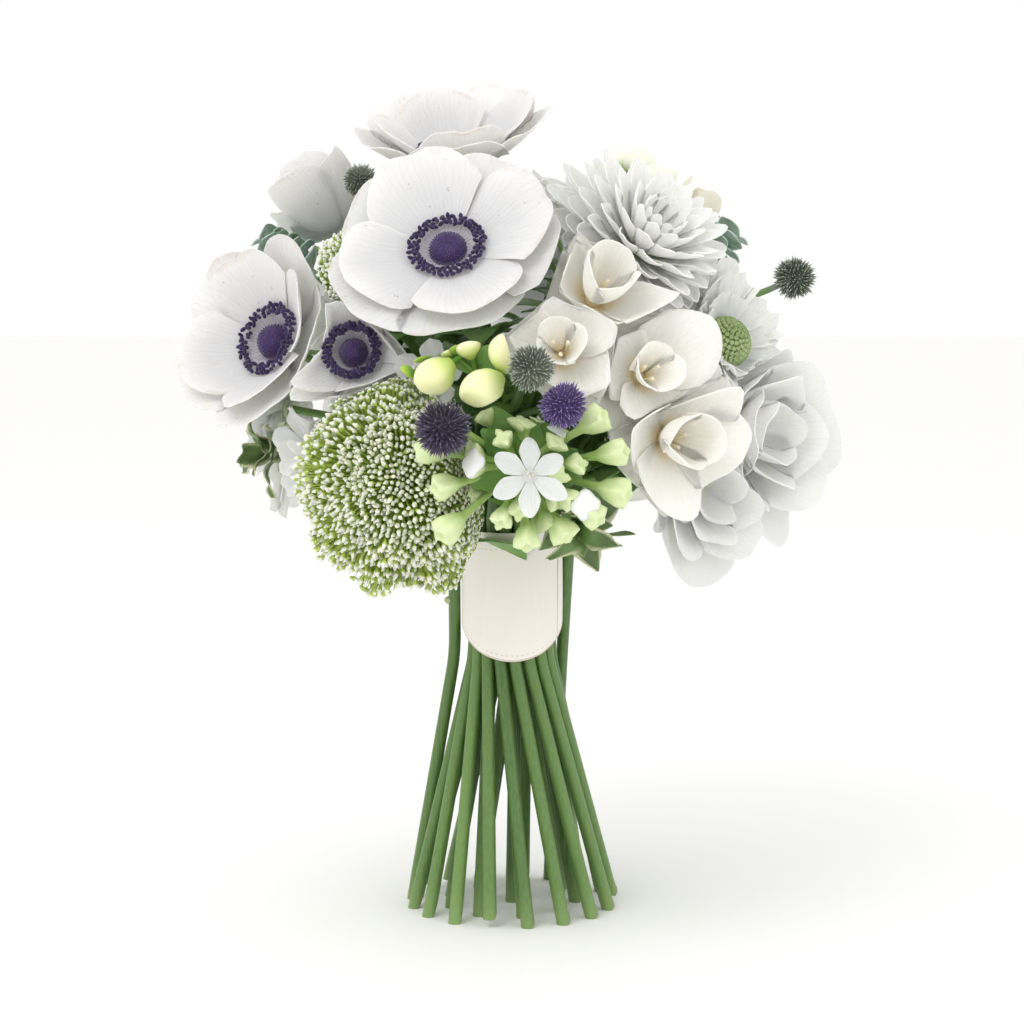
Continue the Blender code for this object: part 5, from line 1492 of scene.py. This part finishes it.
# %% Cream-edged leaves
def foliage(name):
    """Long pointed leaves that wind up a twig, with shorter ones between."""
    place = places[name]
    heap = Heap()
    path = np.linspace((0, 0, -2.5), (0, 0, place.radius * 0.52), 8)
    points, faces = tube(path, np.linspace(1.7, 0.9, 8), 8)
    heap.add(place.world(points), faces, (0.0, 0.0, 0.2))
    for k in range(6):
        turn = 2.4 * k + 0.4
        heading = (math.cos(turn), math.sin(turn), 0.2 + 0.18 * k)
        grid = leaf((0, 0, place.radius * (0.02 + 0.085 * k)), heading, 23 - k, 13 - k, True,
                    rows=20, cols=12, wavy=1.5, phase=k, droop=0.24)
        add_leaf(heap, place.world(grid, 0.6), 0.15 * k)
    for k in range(5):
        turn = 2.4 * k + 1.5
        heading = (math.cos(turn), math.sin(turn), 0.1 + 0.3 * k)
        grid = leaf((0, 0, place.radius * (0.05 + 0.08 * k)), heading, 17 - k, 9, True, wavy=0.6,
                    phase=2 * k)
        add_leaf(heap, place.world(grid, 1.2), 0.15 * k + 0.1)
    return heap


for name in ("foliage_a", "foliage_b", "foliage_c"):
    foliage(name).make(name + "_leaves", LEAF_GREEN, "foliage", name + "_stem")


# %% [markdown]
# Leaves under the flowers
#
# Seen between two flowers, a bunch is full of dark leaves. Each stem gets a few plain ones near
# its top. They are drawn in to a ball that lies below every flower, so none pokes through a petal.

# %% Leaves under the flowers
COLLAR_REACH, COLLAR_SHARPNESS = 71.0, 8


def collar_leaves(plant, rng, count=7):
    """Leaves that lie across the top of a stem, drawn in to a ball that is below every flower."""
    path = stem_lines[plant]
    gap = np.linalg.norm(path - places[PLANTS[plant][0]].seat, axis=1)
    upper = path[(gap > 14.0) & (gap < 62.0)]
    heap = Heap()
    for k in range(count):
        at = int((k + 0.5) / count * (len(upper) - 2))
        ahead = unit(upper[at + 1] - upper[at])
        across = unit(np.cross(ahead, rng.normal(0, 1, 3))) * (1.0, 1.0, 0.2)
        grid = leaf(upper[at], across + 0.45 * ahead, rng.uniform(26, 36), rng.uniform(12, 16), True,
                    rows=12, cols=6, wavy=0.6, phase=6.0 * k)
        away = grid - HEAD_CENTRE
        share = np.linalg.norm(away, axis=-1, keepdims=True) / COLLAR_REACH
        drawn = away / (1 + share**COLLAR_SHARPNESS) ** (1 / COLLAR_SHARPNESS)
        add_leaf(heap, HEAD_CENTRE + drawn, 0.12 * k)
    return heap


rng = np.random.default_rng(23)
for plant in PLANTS:
    collar_leaves(plant, rng).make(plant + "_collar", SHEATH_GREEN, "stem", plant + "_stem")

# %% [markdown]
# Filler blossoms
#
# A florist closes the last holes in a bunch with small white blossoms on side shoots. The bare
# places are found by measuring: of many even directions on the ball, the one furthest from every
# flower takes a blossom, then the next, until no hole is left that a blossom would fit.

# %% Filler
def open_spots(smallest=7.5, largest=15.0, reach=89.0):
    """Bare places on the ball with their sizes: distance to each head's middle, less most of its radius."""
    spots = HEAD_CENTRE + reach * dome(900, -0.12)
    middles = np.array([place.middle for place in places.values()])
    radii = np.array([0.84 * place.radius for place in places.values()])
    room = (np.linalg.norm(spots[:, None] - middles[None], axis=-1) - radii).min(axis=1)
    chosen = []
    while room.max() > smallest:
        best = int(room.argmax())
        size = min(room[best], largest)
        chosen.append((spots[best], size))
        room = np.minimum(room, np.linalg.norm(spots - spots[best], axis=1) - 0.85 * size)
    return chosen


bare = open_spots()
print(len(bare), "bare places")

# %% [markdown]
# Side shoots with blossoms
#
# Each bare place gets a small double blossom on a thin shoot, which leaves the nearest stem in a
# bend. The blossoms are one piece and the shoots another, and both hide the plain solids of the
# stems that they grow from.

# %% Side shoots with blossoms
def filler(bare):
    """Small ruffled blossoms on side shoots of the nearest stems."""
    rng = np.random.default_rng(31)
    carriers = [(plant, point) for plant, line in stem_lines.items() for point in line
                if np.linalg.norm(point - HEAD_CENTRE) < 64.0 and point[2] > 146.0]
    carrier_points = np.array([point for _, point in carriers])
    blossoms, shoots, used = Heap(), Heap(), set()
    for spot, size in bare:
        face = unit(spot - HEAD_CENTRE)
        place = Spot(spot - 4.0 * face, face)
        whorl(blossoms, place, 5, 1.3 * size, 1.35 * size, 6, 42, rng, base=1.6, tip=0.26, cover=1.25,
              rows=8, cols=8, ruffle=0.7, wave=1.0, lay=0.7, roll=0.8)
        whorl(blossoms, place, 4, 0.95 * size, 1.0 * size, 34, 88, rng, start=0.6, base=1.4, inset=0.8,
              tip=0.26, cover=1.25, rows=8, cols=8, ruffle=0.5, wave=0.6, lay=0.6)
        hub(blossoms, place, 2.6)
        nearest = int(np.linalg.norm(carrier_points - place.seat, axis=1).argmin())
        root = carrier_points[nearest]
        used.add(carriers[nearest][0] + "_stem")
        t = np.linspace(0, 1, 12)[:, None]
        bend = place.seat - 14.0 * face
        path = (1 - t) ** 2 * root + 2 * t * (1 - t) * bend + t**2 * (place.seat - 1.0 * face)
        points, faces = tube(path, np.full(12, 0.9), 8)
        shoots.add(points, faces, (0.0, 0.0, 0.6))
    return blossoms, shoots, sorted(used)


blossoms, shoots, carried_by = filler(bare)
blossoms.make("filler_blossoms", LISIANTHUS_WHITE, "lisianthus", *carried_by)
shoots.make("filler_shoots", STEM_SKIN, "stem", *carried_by)
print("they are carried by", len(carried_by), "stems")

# %% [markdown]
# Sprays
#
# The trachelium's dome is thousands of tiny buds on fine stalks, each tipped with white. Thistles
# are balls of spines. The bouvardia carries green tubes with four-lobed mouths. The freesia's
# unopened buds are plump and ribbed.

# %% Trachelium
TRACHELIUM_LIFT = 1.5


def trachelium(name, count, size):
    """Closed buds on a lumpy dome of the solid's own size, on stalks from a dark core."""
    place = places[name]
    wide, tall = place.radius * 0.94, place.radius * 0.62
    rng = np.random.default_rng(count)
    heads = dome(count, -0.3)
    x, y, z = heads.T
    lumps = np.sin(9.0 * x + 1.0) * np.sin(8.0 * y) + np.sin(7.0 * z + 5.0 * x)
    shell = 1.03 + 0.10 * lumps + rng.uniform(-0.12, 0.10, count)
    whole, lift = np.array([wide, wide, tall]), (0, 0, TRACHELIUM_LIFT)
    spots = heads * whole * shell[:, None] + lift
    core, tips = Heap(), Heap()
    t = np.linspace(0.02, 0.98, 14) * np.pi
    points, faces = lathe(-np.cos(t), np.sin(t), 24)
    points[points[:, 2] < -0.25, 2] *= 0.5
    core.add(place.world(points * whole * 0.78 + lift), faces, (0.0, 0.0, 0.0))
    root = heads * whole * 0.72 + lift
    away = spots - root
    tips.scatter(spine(0.07), root, unit(away), np.linalg.norm(away, axis=1),
                 rng.uniform(0, 1, count), adjust=place.world)
    tips.marks[-1] = tips.marks[-1] * (1.0, 0.45, 1.0)
    out = unit(heads + rng.normal(0, 0.3, heads.shape))
    tips.scatter(bead(5, 3, 1.8), spots, out, size * rng.uniform(0.8, 1.25, count),
                 rng.uniform(0, 1, count), adjust=place.world)
    return core, tips


# name, number of buds, size of a bud
TRACHELIUMS = (("trachelium_a", 3000, 0.86), ("trachelium_b", 520, 0.8), ("trachelium_c", 1700, 0.98))
for name, count, size in TRACHELIUMS:
    core, tips = trachelium(name, count, size)
    core.make(name + "_twigs", TRACHELIUM_CORE, "trachelium", name + "_stem")
    tips.make(name + "_florets", FLORET_GREEN, "trachelium", name + "_stem")


# %% [markdown]
# Thistles
#
# A thistle head is a ball of stiff spines round a core. Even directions with a little noise keep
# it from looking combed. The same function makes the grey heads, a dark one and the purple one.

# %% Thistles
def thistle(name, middle_share, count=340):
    """A core with spines all round, in the solid's own ball."""
    place = places[name]
    size = 0.72 * place.radius
    middle = middle_share * size - (RECEPTACLE if middle_share > 1.2 else 0.0)
    heap = Heap()
    t = np.linspace(0.03, 0.97, 10) * np.pi
    points, faces = lathe(-np.cos(t) * size * 0.68 + middle, np.sin(t) * size * 0.68, 16)
    heap.add(place.world(points), faces, (0.0, 0.1, 0.0))
    points, faces = lathe([-2.0, 0.5 * middle, middle], [1.1, 1.2, 1.6], 8)
    heap.add(place.world(points), faces, (0.0, 0.3, 0.0))
    heads = dome(count, -0.99)
    rng = np.random.default_rng(count + len(name))
    out = unit(heads + rng.normal(0, 0.12, heads.shape))
    heap.scatter(spine(0.2), heads * size * 0.62 + (0, 0, middle), out,
                 size * rng.uniform(0.3, 0.52, count), rng.uniform(0, 1, count), adjust=place.world)
    return heap


THISTLES = (("thistle_a", "thistle_a", THISTLE_GREY), ("thistle_c", "trachelium_a", THISTLE_DARK),
            ("thistle_d", "trachelium_b", THISTLE_GREY), ("thistle_e", "eucalyptus_b", THISTLE_GREY))
for name, plant, colour in THISTLES:
    thistle(name, 1.1).make(name + "_spines", colour, "thistle", plant + "_stem")
thistle("thistle_b", 1.45).make("thistle_b_spines", THISTLE_PURPLE, "purple", "thistle_b_head")


# %% [markdown]
# Buds
#
# Freesia buds are plump with a few soft ribs and stand in a fork, the largest in front. A turned
# profile whose radius swells and closes makes one, and ribs are added as a small cosine round it.

# %% Buds
BUD_SIDES, TUBE_SIDES = 24, 16


def along_axis(shape, root, axis):
    """A turned shape stood on `root` with its Z along `axis`."""
    points, faces = shape
    return root + points @ axes_for(unit(np.asarray(axis, float))).T, faces


def bud_on_stalk(heap, stalks, place, middle, length, width, root, lobes=6):
    """A plump ribbed bud, and the stalk that it sits on."""
    root, middle = np.asarray(root, float), np.asarray(middle, float)
    ahead = middle - root
    foot = np.linalg.norm(ahead) - length / 2
    t = np.linspace(0, 1, 14)
    swell = np.sin(np.pi * np.clip(t, 0.04, 0.985) ** 0.8) ** 0.75
    shape = lathe(foot + length * t, width / 2 * swell, BUD_SIDES, lobes, 0.035 * swell)
    points, faces = along_axis(shape, root, ahead)
    marks = np.zeros_like(points)
    marks[:, 1] = np.append(np.repeat(t, BUD_SIDES), [0, 1])
    heap.add(place.world(points), faces, marks)
    shape = lathe([0, foot + 0.8, foot + 2.4], [0.95, 1.05, width * 0.3], 8)
    points, faces = along_axis(shape, root, ahead)
    stalks.add(place.world(points), faces, (0.0, 0.2, 0.3))


buds, stalks, place = Heap(), Heap(), places["buds_a"]
# middle, length, width and root of each bud
FORK_BUDS = (((-14, -3, 8), 18, 12.5, (-2, 8, 5)), ((3, -8, 12), 20, 13.5, (13, 2, 4)),
             ((11, 7, 9), 16, 12, (8, -4, 3)), ((-3, 10, 8), 13, 9, (0, 0, 1)),
             ((-11, 9, 5), 9, 7, (0, 0, 1)))
for middle, length, width, root in FORK_BUDS:
    bud_on_stalk(buds, stalks, place, middle, length, width, root)
green_buds = Heap()
# middle, length and width of each young bud
YOUNG_BUDS = (((-22, 6, 6), 9, 5), ((-25, 0, 5), 8, 5), ((-19, 11, 5), 9, 5.5),
              ((-23, 13, 3), 7, 4), ((-8, 12, 7), 17, 9), ((-2, 15, 5), 15, 8))
for spot, length, width in YOUNG_BUDS:
    root = np.array(spot) * (0.55, 0.45, 0.2)
    bud_on_stalk(green_buds, stalks, place, spot, length, width, root, 5)
green_buds.make("freesia_green_buds", YOUNG_BUD, "buds", "freesia_a_stem")
for heading, size in (((0.32, 1, -0.12), 22), ((-0.5, 0.9, 0.0), 20), ((0.8, 0.6, 0.1), 18)):
    add_leaf(stalks, place.world(leaf((0, 0, 0), heading, size, 12, True), 0.6), 0.4)
buds.make("freesia_buds", FREESIA_BUD, "buds", "freesia_a_stem")
stalks.make("freesia_bud_stalks", SHEATH_GREEN, "stem", "freesia_a_stem")

buds, stalks, place = Heap(), Heap(), places["buds_b"]
for k in range(5):
    turn, out = 2.4 * k, 4.5 + 2.2 * k
    spot = (out * math.cos(turn), out * math.sin(turn), 15 - 1.2 * k)
    bud_on_stalk(buds, stalks, place, spot, 11.5, 10.5, (0, 0, 0), 5)
buds.make("round_buds", ROUND_BUD, "buds", "bud_spray_stem")
stalks.make("round_bud_stalks", SHEATH_GREEN, "stem", "bud_spray_stem")

# %% [markdown]
# Bouvardia
#
# The spray is a bunch of green tubes that widen into square mouths with four lobes. A profile
# carried round a tube's axis makes each one. Nine stand in a ring, more fill the middle, and ten
# reach out to the sides in front of the other flowers.

# %% Bouvardia
def floret_tube(heap, turn, tilt, span, flare, settle):
    """A green tube from the middle of the spray, with a square four-lobed mouth."""
    out = math.sin(tilt)
    heading = np.array([out * math.cos(turn), out * math.sin(turn), math.cos(tilt)])
    heights = span * np.array([0, 0.4, 0.64, 0.72, 0.79, 0.90, 0.98, 1.0, 0.95])
    radii = np.array([0.8, 1.0, 1.3, 1.7, flare * 0.8, flare, flare * 0.95, flare * 0.6, 0.5])
    depth = np.array([0, 0, 0, 0.04, 0.12, 0.22, 0.34, 0.28, 0.0])
    shape = lathe(heights, radii, TUBE_SIDES, 4, depth)
    points, faces = along_axis(shape, np.array([0, 0, 1.5]), heading)
    marks = np.zeros_like(points)
    marks[:, 1] = np.append(np.repeat(heights / span, TUBE_SIDES), [0, 1])
    heap.add(settle(points), faces, marks)


heap, leaves, place = Heap(), Heap(), places["bouvardia"]
RING_TUBES, INNER_TUBES, TUBE_REACH = 9, 11, 31.0
for k in range(RING_TUBES + INNER_TUBES):
    if k < RING_TUBES:
        turn, tilt, share = 2 * np.pi * k / RING_TUBES + 0.1, 76 if k % 2 else 45, 0.84 if k % 2 else 0.9
    else:
        turn, tilt, share = GOLDEN * k, 30 + 3.4 * (k % 13), 0.74 + 0.02 * (k % 6)
    floret_tube(heap, turn, math.radians(tilt), TUBE_REACH * share, 3.9 if k % 3 == 1 else 3.1, place.world)
FRONT_TURNS, SIDE_REACH = (-58, -34, -14, 10, 34, 148, 168, 192, 218, -88), 40
free = Spot(place.seat, place.face)
for k, degrees in enumerate(FRONT_TURNS):
    turn = math.radians(degrees)
    reach = SIDE_REACH if abs(math.cos(turn)) > 0.7 else TUBE_REACH
    floret_tube(heap, turn, math.radians(62 - 5 * (k % 2)), reach - 4 * (k % 3 == 1),
                4.1 - 0.5 * (k % 2), free.world)
for k in range(8):
    turn = np.pi / 3 * (k % 4) - 0.1 + 0.4 * (k > 3)
    upper = k > 3
    heading = (math.cos(turn), math.sin(turn), 0.2 + 0.35 * upper)
    grid = leaf((0, 0, 1.5 * upper), heading, 27 - 5 * upper, 12, True)
    add_leaf(leaves, place.world(grid, 0.6), 0.1 * k)
star_root = np.array([0, 0, 2.0])
tall = np.linalg.norm(STAR_SPOT - star_root) - GAP
points, faces = along_axis(lathe([0, tall], [1.2, 1.1], 8), star_root, STAR_SPOT - star_root)
heap.add(place.world(points), faces, (0.0, 0.2, 0.0))
heap.make("bouvardia_tubes", TUBE_GREEN, "bouvardia", "bouvardia_stem")
leaves.make("bouvardia_leaves", SHEATH_GREEN, "bouvardia", "bouvardia_stem")

# %% [markdown]
# The ribbon wrap and the tie
#
# The wrap is one turn of ivory ribbon about the bundle. Its lower hem rounds down at the front and
# the back, its ends leave a narrow slit at the right. It is a sheet on a cylinder that swells by
# soft folds, never inwards, because the stems are just behind it.

# %% The wrap
RIBBON_ROWS, RIBBON_COLS, MARK_RADIUS, SEAM_DROP = 37, 181, 18.0, 6.0


def ribbon():
    """Azimuth across and height along; the radius adds folds that fade at both hems."""
    level = np.linspace(0, 1, RIBBON_ROWS)[:, None]
    turn = np.linspace(0, 1, RIBBON_COLS)[None, :]
    azimuth = math.radians(SLIT_AZIMUTH) + 2 * np.pi * turn
    low = WRAP_LOW + HEM_DIP * (1 - np.sqrt(np.cos(azimuth) ** 2 + 0.02))
    z = low + (WRAP_HIGH - low) * level
    radius = wrap_radius(z)
    width = SLIT_CLOSED + (SLIT_TOP - SLIT_CLOSED) * level**2
    azimuth = azimuth + (0.5 - turn) * width / radius
    folds = np.exp(-(((azimuth - 6.9 + 0.25 * level) / 0.1) ** 2))
    folds = folds + 0.8 * np.exp(-(((azimuth - 5.6 - 0.3 * level) / 0.14) ** 2))
    soft = 0.5 + 0.5 * np.sin(5.0 * azimuth + 3.0 * level)
    radius = radius + np.sin(np.pi * level) ** 0.5 * (0.15 * soft + 1.1 * folds)
    grid = np.stack([radius * np.sin(azimuth), -radius * np.cos(azimuth), z], -1)
    marks = np.stack(np.broadcast_arrays(azimuth * MARK_RADIUS, z - low, WRAP_HIGH - SEAM_DROP - low), -1)
    return grid, np.concatenate([marks.reshape(-1, 3)] * 2)


heap = Heap()
grid, marks = ribbon()
points, faces = sheet(grid, WRAP_THICKNESS)
heap.add(points, faces, marks)
wrap_piece = heap.make("ribbon_wrap", RIBBON, "wrap", "wrap")
tall = float(np.mean(grid[-1, :, 2] - grid[0, :, 2])) * MM

# %% [markdown]
# The tie
#
# The twine is hidden under the ribbon, so its plain band is kept as it is and only gets the finish
# of wound strands.

# %% The tie
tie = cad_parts["tie"]
tie.data.materials.clear()
tie.data.materials.append(TWINE)
print("the tie wears", tie.data.materials[0].name)

# %% [markdown]
# The count of triangles
#
# The triangles of all the finished pieces are added up and printed.

# %% The count of triangles
print("triangles:", sum(total_triangles))
